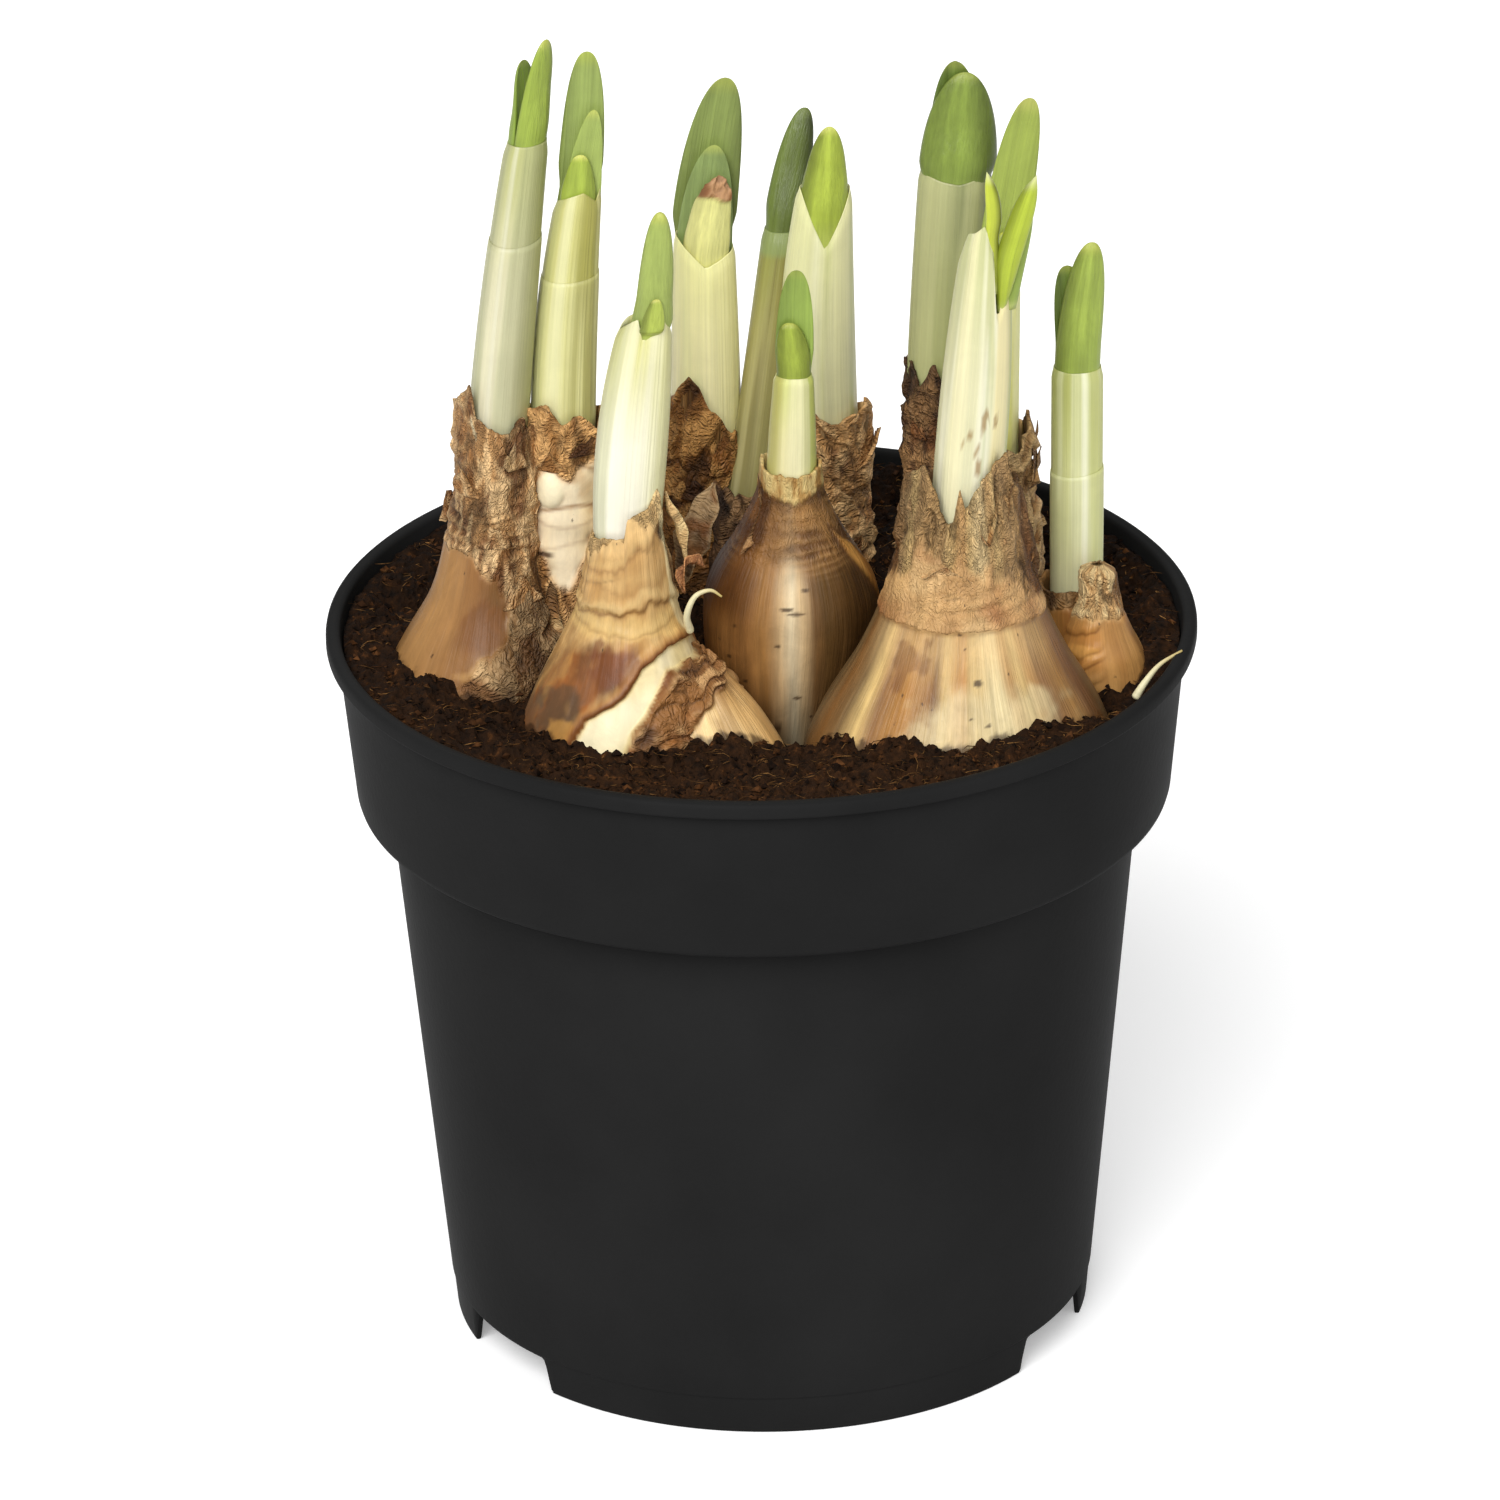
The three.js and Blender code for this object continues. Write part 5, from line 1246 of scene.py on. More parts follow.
# %% Flakes round the necks
FLAKES = {  # nose: how many, lowest and highest foot, height, how far they stand off, darkness
    "A": (12, 128, 166, 5, 0.9, 0.1), "B": (5, 160, 166, 4, 0.8, 0.1), "J": (9, 150, 158, 5, 1.0, -0.1),
    "H": (10, 126, 160, 6, 0.8, 0.1), "I": (9, 122, 153, 6, 1.0, 0.0), "D": (12, 120, 148, 7, 1.0, 0.1),
    "E": (4, 118, 136, 6, 0.9, 0.1), "F": (10, 120, 148, 6, 1.0, 0.1), "A_flap": (4, 114, 130, 6, 0.9, 0.2),
}
rng = np.random.default_rng(7)
nose_shells = {}
for name, nose in NOSES.items():
    nose_shells[name] = [nose_surface(name, nose)]
    if name in FLAKES:
        count, low, high, tall, stand, dark = FLAKES[name]
        for n in range(count):
            spin = 360 * (n * 0.618 + 0.1 * rng.random())
            at = low + (high - low) * (n + rng.random()) / count
            draw = rng.random(6)
            if Skin(nose, np.radians([spin]), np.array([at + 1])).inside(nose["bare"])[0] > 0:
                continue
            nose_shells[name].append(flake(nose, spin, 30 + 40 * draw[0], at - 1.5,
                                           tall * (0.5 + 0.6 * draw[1]),
                                           stand * (0.4 + 0.8 * draw[2]), 90 * draw[3], 0.35 + 0.5 * draw[4],
                                           dark + 0.5 * (draw[5] - 0.5), lean=24 * (draw[0] - 0.5)))
SCRAPS = [  # with a place of their own: nose, degrees, width, foot, height, stand, seed, point, curl, paper
    ("B", -96, 58, 128, 12.5, 1.0, 21.0, 0.8, 0.6, LIGHT_PAPER),
    ("B", -150, 50, 140, 8, 0.6, 31.0, 0.4, 0.3, LIGHT_PAPER),
    ("J", -86, 30, 154, 8, 0.5, 81.0, 0.9, 0.0, LIGHT_PAPER),
    ("J", -52, 40, 156, 10, 1.2, 92.0, 0.7, 0.6, LIGHT_PAPER),
    ("J", -35, 40, 154, 13, 1.0, 104.0, 0.7, 0.4, TAN_PAPER),
    ("J", -152, 60, 151, 12, 0.7, 113.0, 0.8, 0.3, TAN_PAPER),
    ("G", -150, 34, 149.5, 11, 0.9, 121.0, 0.8, 0.3, BROWN_PAPER),
    ("I", -8, 50, 150, 11, 0.3, 127.0, 0.7, 0.2, TAN_PAPER),
]
for name, *shape, curl, paper in SCRAPS:
    nose_shells[name].append(flake(NOSES[name], *shape, curl=curl, paper=paper))
nose_shells["C"] += [  # dried scraps that hang beside the neck of the front left bulb
    scrap([(-15.9, -25, 164.5), (-15.2, -25.3, 161), (-13.9, -25.6, 158.4), (-13.3, -25.4, 155),
           (-12.6, -25, 151)],
          (1, -0.5, 0.3), 1.1, 0.9, 3, LIGHT_PAPER, 0.4),
    scrap([(-12.9, -26, 146), (-13.3, -26.8, 149), (-12.6, -27.2, 151.6), (-10.9, -27.2, 152.4),
           (-9.4, -27, 151.2)],
          (0.5, -0.3, 0.9), 1.5, 0.6, 7, ("#c48c62", "#94603f", "#5c3a26"), 0.2),
    scrap([(-13.4, -14, 142), (-12.6, -15, 147.5), (-11, -15.2, 152.5), (-9, -14.6, 157), (-7.6, -14, 161)],
          (1, -0.25, -0.4), 2.9, 0.35, 13, GREY_PAPER, 0.0),
]
for name, shells in nose_shells.items():
    clump = NOSES[name]["clump"]
    number = 1 + [n for n in NOSES if NOSES[n]["clump"] == clump].index(name)
    piece(f"tunic_{clump}_{number}", shells, TUNIC, [f"bulb_{clump}"] if number == 1 else [])


# %% [markdown]
# ## Sheaths
# A sheath is a thin tube, oval in section, that hugs the leaves. A lofted tube with a real wall does it: up
# the outside, over a thin edge that may dip in a V, and down inside to a closed floor. Fine ribs follow its
# length, and its tint runs from ivory at the foot to green near the top.

# %% Sheath surface
SHEATH_COLUMNS, LIP_ZONE = 56, 0.96  # above this share of its height the sheath thins to its edge
SHEATH_WALL, SHEATH_FLOOR = 0.45, 1.5
DARK_FOOT, FOOT_SHADE = 7, 0.7  # the shadow above the foot, in the neck of the bulb


def shoot_middle(shoot, z):
    """The line up the middle: straight from foot to top, with a bow; above the top it runs on."""
    (x0, y0, z0), (x1, y1, z1) = shoot["foot"], shoot["top"]
    share = (z - z0) / (z1 - z0)
    bend = np.where(share < 1, 4 * share * (1 - share), 4 * (1 - share))
    return x0 + (x1 - x0) * share + shoot["bow"] * bend, y0 + (y1 - y0) * share


def shoot_half(shoot, z):
    """Half-width of the sheath: the quadratic through its values at the foot, the middle and the top."""
    t = np.clip((z - shoot["foot"][2]) / (shoot["top"][2] - shoot["foot"][2]), 0, 1)
    low, mid, high = shoot["across"]
    return low * (1 - t) * (1 - 2 * t) + mid * 4 * t * (1 - t) + high * t * (2 * t - 1)


def set_out(shoot, u, w, z):
    """Points at u across and w through the shoot's section, at height z."""
    x, y = shoot_middle(shoot, z)
    c, s = math.cos(math.radians(shoot["turn"])), math.sin(math.radians(shoot["turn"]))
    return xyz(x + u * c - w * s, y + u * s + w * c, z)


def oval_ring(shoot, angle, z, grow):
    """Points round the shoot's oval section, moved outwards by grow."""
    half = shoot_half(shoot, z)
    return set_out(shoot, (half + grow) * np.cos(angle), (half * shoot["oval"] + grow) * np.sin(angle), z)


def sheath_edge(shoot, angle):
    """Height of the sheath's edge: knots round the turn, or its top less a V that takes up half the turn."""
    if shoot["edge"]:
        return turning(shoot["edge"], (angle + math.radians(shoot["turn"]) + np.pi) % (2 * np.pi) - np.pi)
    way, depth = shoot["notch"]
    turned = angle + math.radians(shoot["turn"] - way)
    off = np.abs((turned + np.pi) % (2 * np.pi) - np.pi)
    lean = shoot["tilt"] * np.cos(angle + math.radians(shoot["turn"]))
    return shoot["top"][2] + lean - depth * (1 - np.sin(np.minimum(off, np.pi / 2)))


# %% Sheath colours
SHEATH_LOOK = {  # colours at the foot, middle, top and right-hand side; streak colour and its strength
    "left": ("#dcd6b8", "#d7d1ae", "#b7b87c", "#98994c", "#a3a777", 0.5),
    "left_inner": ("#d8d294", "#d6d28a", "#ceca82", "#97923a", "#e8e5a4", 0.5),
    "front_left": ("#f3eee3", "#ece8cf", "#cdca84", "#e3e0a6", "#f4f0d8", 0.4),
    "rear_left": ("#f8f0bd", "#f7f0b8", "#f0eca6", "#eee8a8", "#e2e2a4", 0.5),
    "rear_middle": ("#a59c70", "#aca46b", "#93934a", "#877f43", "#7a713a", 0.8),
    "rear": ("#ece8b6", "#eae8b6", "#e3e2a8", "#e6e2ae", "#cdd08a", 0.7),
    "centre": ("#e6dcb0", "#e0d9a4", "#d1d387", "#b2ba55", "#efe9bd", 0.5),
    # right_rear: darker than the rest, partly painted shade, as it stands behind the front right shoot
    "right_rear": ("#989964", "#a1a36c", "#adae7a", "#70764a", "#b0b07c", 0.7),
    "right_inner": ("#f7f1a3", "#f7f59d", "#edec7a", "#e3e27e", "#fffbc4", 0.6),
    "front_right": ("#e0dcb8", "#dad6ac", "#c6c890", "#c4c682", "#f1eed2", 0.8),
    "right": ("#e6e2b6", "#d2d394", "#b2b66a", "#c3c67c", "#e6e7be", 0.4),
}


# the pale stripe of the right sheath is a painted highlight; the dark stripes near the left edges are painted
# shade
SHEATH_STRIPES = {  # across from -1 to 1, half-width, colour and strength
    "left": [(-0.42, 0.08, "#eae8d2", 0.4), (-0.9, 0.2, "#a5a67a", 0.6)],
    "left_inner": [(-0.4, 0.2, "#f1efc4", 0.45), (-0.85, 0.14, "#b0b278", 0.6)],
    "front_left": [(-0.85, 0.2, "#b9ba86", 0.5)],
    "front_right": [(0.36, 0.05, "#b9be8e", 0.5), (0.74, 0.14, "#ecdc98", 0.7), (-0.45, 0.2, "#efe6b8", 0.5)],
    "right": [(0.25, 0.12, "#f8f7e0", 0.55)],
    "centre": [(0.1, 0.3, "#efeabf", 0.5), (-0.85, 0.3, "#a9a34c", 0.7)],
    "rear": [(-0.15, 0.12, "#f2f0cc", 0.5)],
}


def sheath_tint(name, shoot, angle, z, seed):
    """Foot to top, darker to the right, with broad streaks along the length."""
    foot, top = shoot["foot"][2], shoot["top"][2]
    look = [colour(c) for c in SHEATH_LOOK[name][:5]]
    share = (z - foot) / (top - foot)
    tint = mix(mix(look[0], look[1], ease(2 * share)), look[2], ease(2 * share - 1))
    turned = angle + math.radians(shoot["turn"])
    across = np.cos(turned) + 0 * z
    start = {"left": 0.3, "left_inner": -0.2, "right_rear": -0.3, "rear_middle": -0.3}.get(name, 0.1)
    tint = mix(tint, look[3], 0.75 * ease((across - start) / 0.65))
    round_ = wrapped(angle, 0.035 * z + 3 * seed)
    tint = mix(tint, look[4], SHEATH_LOOK[name][5] * ease((rough(round_, 2.6, 3, seed + 7) - 0.02) / 0.22))
    tint = tint * (1 + 0.1 * rough(round_, 1.3, 2, seed + 8))[..., None]
    for middle, half, code, strength in SHEATH_STRIPES.get(name, []):
        off = np.abs(across + 0.12 * rough(round_, 3, 2, seed + 9) - middle) / half
        tint = mix(tint, colour(code), strength * ease(1.5 - off) * (np.sin(turned) < 0))
    if name == "rear_middle":
        tint = mix(tint, "#8a9a5e", 0.8 * ease((z - top + 4.2) / 0.3))
    if name == "front_right":
        front = (turned + 1.5 * np.pi) % (2 * np.pi) - np.pi
        for high, right, tall in ((179.4, 0.35, 1.4), (176.8, 0.3, 1.1), (177.6, 0.65, 0.8),
                                  (174.3, -0.3, 0.4), (172.6, 0.15, 1.2), (169.9, 0.22, 1.5),
                                  (175.6, -0.1, 0.3)):
            off = np.hypot((front - right) * 6 / 0.45, (z - high) / tall)
            stain = ease((1.1 - off + 1.2 * rough(wrapped(angle, z), 1.1, 3, 81)) / 0.5)
            tint = mix(tint, "#96713a", 0.75 * stain)
    return tint


# %% Sheath walls
def ribbed(shoot, angle, z, seed):
    """Fine ribs along the sheath, in mm."""
    return 0.1 * rough(wrapped(angle, z * 0.03 + seed, max(shoot["across"])), 1.5, 3, seed)


def sheath_surface(name, shoot, seed):
    """Closed tube with a thin wall, from its foot to the edge and down inside."""
    angle = full_turn(SHEATH_COLUMNS + 28 * bool(shoot["edge"]))[None]
    low = shoot["foot"][2]
    edge = sheath_edge(shoot, angle) + 0.1 * noise(wrapped(angle, seed + 0 * angle, 4), 1.5, seed)
    up = np.concatenate([np.linspace(0, LIP_ZONE, 42), [0.975, 0.985, 0.993, 1]])[:, None]
    z = low + (edge - low) * up
    rib = ribbed(shoot, angle, z, seed)
    outside = oval_ring(shoot, angle, z, rib * ease((1 - up) / 0.04) - 0.32 * ease((up - LIP_ZONE) / 0.04))
    down = np.array([1, 0.97, 0.8, 0.4, 0.0])[:, None]
    z_in = low + SHEATH_FLOOR + (edge - low - SHEATH_FLOOR) * down
    inside = oval_ring(shoot, angle, z_in, -SHEATH_WALL)
    tint = sheath_tint(name, shoot, angle, z, seed)
    fibre = wrapped(angle, z + 11 * seed)
    crease = FOOT_SHADE * ease((low + DARK_FOOT - z) / DARK_FOOT)
    return skin(np.concatenate([outside, inside]), worn(*(held(v, 5) for v in (tint, fibre, crease))))


def sleeve_surface(name, shoot, seed):
    """The outer sheath: an open tube with a level edge round the lower part of the sheath."""
    angle = full_turn(SHEATH_COLUMNS)[None]
    low, high = shoot["foot"][2], shoot["sleeve"]
    up = np.linspace(0, 1, 40)[:, None]
    level = high + 0.5 * np.cos(angle - 0.6)
    z = low + (level - low) * up
    rib = ribbed(shoot, angle, z, seed)
    outside = oval_ring(shoot, angle, z, 0.2 + rib - 0.08 * ease((up - 0.97) / 0.03))
    inside = oval_ring(shoot, angle, z[::-4], 0.06)
    z_all = np.concatenate([z, z[::-4]])
    tint = mix(sheath_tint(name, shoot, angle, z_all, seed), colour("#d9d6b0"), 0.15 + 0 * z_all)
    fibre = wrapped(angle, z_all + 13 * seed)
    crease = FOOT_SHADE * ease((low + DARK_FOOT - z_all) / DARK_FOOT)
    # painted shade just below the sleeve's top edge
    crease = crease + 0.15 * ease((z_all - level + 0.5) / 0.5)
    return skin(np.concatenate([outside, inside]), worn(tint, fibre, crease), hoop=True)


# %% [markdown]
# ## Leaves
# Paperwhite leaves come up pressed together like two halves of a lens, thick and satin, with blunt tips.
# Each is a loft of half-lens sections that widens above the sheath and rounds off at the tip. The tint gives
# the sides their painted light and shade, the stripe up the middle its painted highlight, and the tip its
# colour; the streaks give the fine veins.

# %% Leaf surface
# the lightness of each side is painted light and shade, and the stripe up the middle a painted highlight
LEAF_LOOK = {  # middle and tip; how light the left side, the right side and the stripe up the middle are;
    # then power and root of the curve that closes the tip, where it is blunter than the plain one
    "left": {
        "front": ("#95a844", "#b7bd5a", 1.02, 0.86, 1.06, 2.8, 0.45),
        "back": ("#849a40", "#9fad53", 1.02, 0.82, 1.05, 2.5, 0.45)},
    "left_inner": {
        "back": ("#93a357", "#a7b34e", 0.95, 0.97, 1.0, 3, 0.42),
        "core": ("#9fb05c", "#bdc463", 1.02, 1.0, 1.0),
        "front": ("#a3b548", "#cfce69", 0.92, 0.9, 1.05, 2.8, 0.42)},
    "front_left": {
        "back": ("#9cab58", "#bdc15a", 0.97, 1.02, 1.0, 2.5, 0.44),
        "front": ("#a6b44f", "#ccc867", 0.75, 1.0, 1.05, 2.8, 0.42)},
    "rear_left": {
        "back": ("#8f9f56", "#a2ab52", 0.9, 0.85, 1.0, 2.6, 0.45),
        "core": ("#8ea160", "#b3bd62", 0.97, 0.92, 1.0),
        "front": ("#dedb8e", "#b9a860", 0.94, 0.98, 1.05, 3.6, 0.58)},
    "rear_middle": {
        "back": ("#536631", "#717e2e", 1.0, 0.8, 1.0),
        "front": ("#5a672f", "#6d7a3c", 1.16, 0.64, 1.05, 2.6, 0.45)},
    "rear": {
        "front": ("#a6b645", "#cdd166", 0.74, 0.95, 1.15),
        "back": ("#a6ad42", "#e0d04c", 0.9, 0.9, 1.0)},
    "centre": {
        "back": ("#8aa048", "#98a54c", 0.88, 1.02, 1.0, 2.8, 0.43),
        "front": ("#93a23c", "#a8ad4f", 0.8, 0.88, 1.1, 2.8, 0.43)},
    "right_rear": {
        "front": ("#7a8c3b", "#98a34b", 0.94, 0.76, 1.14),
        "back": ("#677b33", "#8a9341", 0.9, 0.9, 1.0)},
    "right_inner": {
        "back": ("#98a74c", "#b1b45d", 0.98, 1.0, 1.0, 3, 0.42),
        "front": ("#919e3c", "#b8b73e", 1.0, 1.0, 1.0)},
    "front_right": {
        "back": ("#b2bc3c", "#d9dc9a", 1.12, 0.68, 1.0),
        "front": ("#a3b235", "#dcdf9e", 0.8, 1.06, 1.12)},
    "right": {
        "front": ("#91a246", "#b5bb58", 0.9, 1.02, 1.14, 2.7, 0.44),
        "back": ("#6f8435", "#98a148", 0.85, 0.85, 1.0, 2.7, 0.44)},
}


PLAIN_TIP, LEAF_PLAY = (2.1, 0.5), 0.5  # and the gap between a leaf and its sheath


def leaf_tint(name, layer, side, free, place, seed):
    """Side runs from -1 to 1 across the leaf and free from 0 at the sheath's edge to 1 at the tip."""
    middle, end = (colour(c) for c in LEAF_LOOK[name][layer][:2])
    left, right, ridge = (v ** 2.2 for v in LEAF_LOOK[name][layer][2:5])
    # painted light and shade on the two sides
    light = 1 + (left - 1) * ease((-side - 0.1) / 0.75) + (right - 1) * ease((side - 0.1) / 0.75)
    # painted highlights in a stripe up the middle and a fainter one to its left
    stripe = bell(side - 0.08, 0.16) * ease(3 * free) + 0.6 * bell(side + 0.35, 0.1)
    light = light * (1 + (ridge - 1) * stripe)
    light = light * (1 + 0.16 * rough(place * [1, 0, 0.03], 1.7, 3, seed + 2))
    tint = middle * light[..., None]
    return mix(tint, end, 0.85 * ease((free - 0.88) / 0.12) + 0 * side)


# %% Leaf shape
def leaf_surface(name, shoot, layer, seed):
    """A loft of half-lens sections: u across the fold, w through it."""
    tip, own, across, apart, *shift = shoot["leaves"][layer]
    three = "core" in shoot["leaves"]
    sideways = {"front": -1, "back": 1, "core": 0}[layer]
    outer = three and sideways
    low, brim = shoot["foot"][2] + 2, shoot["top"][2]
    opening = brim - 0.5 * shoot["notch"][1]
    rise = np.concatenate([np.linspace(low, opening, 6)[:-1],
                           opening + (tip - opening) * np.sin(np.linspace(0, np.pi / 2, 40))])
    z = rise[:, None]
    free = np.clip((z - opening) / (tip - opening), 0, 1)
    room = shoot_half(shoot, z) - LEAF_PLAY
    depth = shoot_half(shoot, z) * shoot["oval"] - LEAF_PLAY
    spread = ease((z - brim) / 5) if name != "right_rear" else ease((z - brim + 2) / 4)
    power, root = LEAF_LOOK[name][layer][5:] or PLAIN_TIP
    round_ = np.maximum((1 - free ** power) ** root, 0.03)
    wide = (np.minimum(room, own + 0.35) * (1 - spread) + own * spread) * round_
    deep = depth * np.maximum(round_, 0.12) * (0.56 if outer else 0.2 if layer == "core" else 1)
    deep = deep * (1 - 0.35 * ease((free - 0.1) / 0.5))
    drift = across * free ** 1.4 + (shift[0] if shift else 0) * ease((z - opening + 3) / 5)
    parted = sideways * (apart * free ** 1.4 + (0.32 * depth if outer else 0))
    if shoot["snug"] and layer == "front":
        parted, deep = parted - (0.62 + 0.4 * ease((z - opening) / 1.5)) * depth, 0.45 * deep
    if layer == "core" or shoot["snug"] and layer == "back":
        a = full_turn(36)[None]
        u, w = wide * np.cos(a), deep * np.sin(a)
    else:
        a = np.linspace(0, np.pi, 25)[None]
        inner = np.linspace(-1, 1, 13)[None, 1:-1]
        u = np.concatenate([wide * np.cos(a), wide * inner], 1)
        w = np.concatenate([0.1 + (deep - 0.1) * np.sin(a) ** 0.9, 0.1 + 0.17 * deep * (1 - inner ** 2)], 1)
        if layer == "front":
            u, w = -u, -w
    side = u / np.maximum(wide, 1e-6)
    place = xyz(u + 31 * seed, w, z + 0 * u)
    w = w + np.sign(w) * 0.05 * rough(place * [1, 0, 0.02], 0.7, 2, seed) * (np.abs(side) < 0.97)
    points = set_out(shoot, u + drift, w + parted, z + 0 * u)
    tint = leaf_tint(name, layer, side, free, place, seed)
    tint = mix(tint, tint * 0.35 + 0.65 * colour("#d9dc8c"), 0.8 * ease((opening + 1 - z) / 8) + 0 * u)
    # painted shade along the leaf's edges inside the sheath
    crease = 0.5 * ease((np.abs(side) - 0.8) / 0.2) * ease((opening + 3 - z) / 6)
    if (name, layer) == ("left_inner", "back"):  # the shadow beside the core leaf
        off = (side + 0.62 - 1.0 * free) / 0.13
        tint = mix(tint, "#4d5f22", 0.75 * bell(off) * ease((0.66 - free) / 0.12) * (w < 0))
    dry = 0.0
    if layer == "front" and name == "rear_left":  # the torn brown cap of the bud
        paper = paper_relief(points, 2.2, 91)
        cap = ease((z - tip + 4.6 + 1.0 * noise(points, 2.5, 5)) / 0.7)
        points = points + (cap * (0.35 + 1.3 * paper))[..., None] * np.array([1.0, -1.0, 0.5])
        tint = mix(tint, paper_tint(("#bd926a", "#8c6443", "#5d3d28"), points, paper, 93), cap)
        crease, dry = np.maximum(crease, cap * ease((-paper - 0.05) / 0.15)), cap
    return skin(points, worn(tint, place, crease, dry))


# %% Thick free leaves
def horn_surface(name, shoot, layer, seed):
    """A thick free leaf as a stack of ovals: knots give its middle, height, half-width and half-depth."""
    knots = np.array(shoot["leaves"][layer])
    share = np.linspace(0, 1, 40) ** 0.8
    z = knots[0, 2] + (knots[-1, 2] - knots[0, 2]) * share
    x, y, wide, deep = (along(knots[:, [2, k]], z)[:, None] for k in (0, 1, 3, 4))
    a = full_turn(36)[None]
    side = np.cos(a) + 0 * x
    round_ = np.sqrt(np.clip(1 - share ** 12, 0.02, 1))[:, None]
    points = xyz(x + wide * round_ * side, y + deep * round_ * np.sin(a), z[:, None] + 0 * a)
    place = xyz(side * wide + 31 * seed, 0 * points[..., 1], points[..., 2])
    free = share[:, None] + 0 * a
    look = layer if layer != "side" else "back"
    tint = leaf_tint(name, look, side, free, place, seed)
    if layer == "side":
        tint = colour("#8fa448") * (1 + 0.2 * rough(place * [1, 0, 0.1], 1.5, 2, seed))[..., None]
    tint = mix(tint, "#d5d98a", 0.6 * ease((0.12 - free) / 0.12))
    return skin(points, worn(tint, place))


# %% Build the shoots
for number, (name, shoot) in enumerate(SHOOTS.items()):
    sheath = sheath_surface(name, shoot, number + 3)
    piece(f"shoot_sheath_{name}", [sheath], SHEATH, [f"sheath_{name}"])
    if shoot["sleeve"]:
        piece(f"shoot_outer_sheath_{name}", [sleeve_surface(name, shoot, number + 3)], SHEATH,
              [f"outer_sheath_{name}"])
    for order, layer in enumerate(shoot["leaves"]):
        kind = "bud" if (name, layer) == ("rear_left", "front") else "leaf"
        made = horn_surface if isinstance(shoot["leaves"][layer], list) else leaf_surface
        nodes = [f"{kind}_{name}_{layer}"] if layer != "side" else []
        blade = made(name, shoot, layer, 3 * number + order)
        piece(f"shoot_{kind}_{name}_{layer}", [blade], LEAF, nodes)

# %% [markdown]
# ## The soil
# Peat is a mass of crumbs and fibres. Its surface is a fine grid of a square squeezed into a disc, raised by
# rough noise, and thousands of small crumbs and bent fibres lie on it as one mesh each. Where a bulb stands,
# the grid drops away inside the bulb's skin, so that the bulb has its pocket.

# %% Soil surface
def soil_height(x, y):
    """The broad surface plus crumbs of several sizes, a heap round each bulb and a pocket inside it."""
    p = xyz(x, y, 0 * x)
    crumb = 2.8 * rough(p, 7, 2, 71, fade=0.55, bend=np.abs)
    crumb = crumb + 1.8 * np.abs(noise(p, 2.6, 73)) + 0.9 * np.abs(noise(p, 1.4, 74))
    z = soil_level(x, y) - 1.3 + crumb + 0.3 * noise(p, 0.8, 75)
    inside = np.zeros_like(z)
    heap = np.zeros_like(z)
    for nose in NOSES.values():
        mx, my, across, deep = nose_frame(nose, np.clip(z, nose["girth"][0][0], nose["girth"][-1][0]))
        out = (np.hypot((x - mx) / across, (y - my) / deep) - 1) * across
        inside = np.maximum(inside, ease((-2.6 - out) / 1.5))
        heap = np.maximum(heap, np.exp(-np.abs(out) / 1.8))
    edge = ease((SOIL_RADIUS - np.hypot(x, y)) / 2.5)
    z = SOIL_AT_WALL - 0.6 + (z - SOIL_AT_WALL + 0.6) * (0.35 + 0.65 * edge)
    return z + 0.9 * heap - 20 * inside


# %% Soil mesh
side = np.linspace(-1, 1, SOIL_GRID)
a, b = np.meshgrid(side, side, indexing="xy")
wide_part = np.abs(a) > np.abs(b)
r = np.where(wide_part, a, b)
with np.errstate(divide="ignore", invalid="ignore"):
    turn = np.where(wide_part, np.pi / 4 * b / a, np.pi / 2 - np.pi / 4 * a / b)
turn = np.nan_to_num(turn)
x, y = SOIL_RADIUS * r * np.cos(turn), SOIL_RADIUS * r * np.sin(turn)
z = soil_height(x, y)
top = xyz(x, y, z)
at = np.arange(top.shape[0] * top.shape[1]).reshape(top.shape[:2])
quads = grid_faces(at)
rim_loop = np.concatenate([at[0, :-1], at[:-1, -1], at[-1, :0:-1], at[:0:-1, 0]])
rim_turn = np.arctan2(top.reshape(-1, 3)[rim_loop, 1], top.reshape(-1, 3)[rim_loop, 0])
ledge_z, floor_z = COLLAR_Z + WALL + CLEAR, FLOOR_Z + WALL + CLEAR
skirt = [(collar_radius(ledge_z) - WALL - CLEAR, ledge_z), (body_radius(ledge_z) - WALL - CLEAR, ledge_z),
         (body_radius(floor_z) - WALL - CLEAR, floor_z), (2.0, floor_z)]
walls = np.concatenate([xyz(r * np.cos(rim_turn), r * np.sin(rim_turn), z + 0 * rim_turn) for r, z in skirt])
points = np.concatenate([top.reshape(-1, 3), walls, [[0, 0, floor_z]]])
count, first = len(rim_loop), top.shape[0] * top.shape[1]
loops = [rim_loop] + [first + k * count + np.arange(count) for k in range(4)]
for upper, lower in zip(loops[:-1], loops[1:]):
    quads = np.concatenate([quads, np.stack([np.roll(upper, -1), upper, lower, np.roll(lower, -1)], -1)])
tris = np.stack([np.full(count, len(points) - 1), np.roll(loops[-1], -1), loops[-1]], -1)
soil_shell = shell(points, quads, tris, {})

# %% Soil finish
SOIL, tree, sockets = finish("damp peat", Specular_IOR_Level=0.1)
place = node(tree, "TexCoord").outputs["Object"]
crumbs = cloud(tree, place, 420.0, 6.0, Roughness=0.7)
grains = node(tree, "TexVoronoi", {"Vector": place, "Scale": 900.0}).outputs["Distance"]
patches = cloud(tree, place, 60.0, 3.0)
base = stir(tree, between(tree, crumbs, 0.35, 0.65), colour("#120a05"), colour("#35200f"))
base = stir(tree, times(tree, between(tree, crumbs, 0.6, 0.72), 0.8), base, colour("#6b4220"))
base = stir(tree, times(tree, between(tree, patches, 0.5, 0.7), 0.5), base, colour("#170e08"))
behind = node(tree, "SeparateXYZ", {0: place}).outputs[1]
front_lit_back_shaded = between(tree, behind, -0.06, 0.03, 1.4, 0.62)  # painted light at the front, painted shade behind
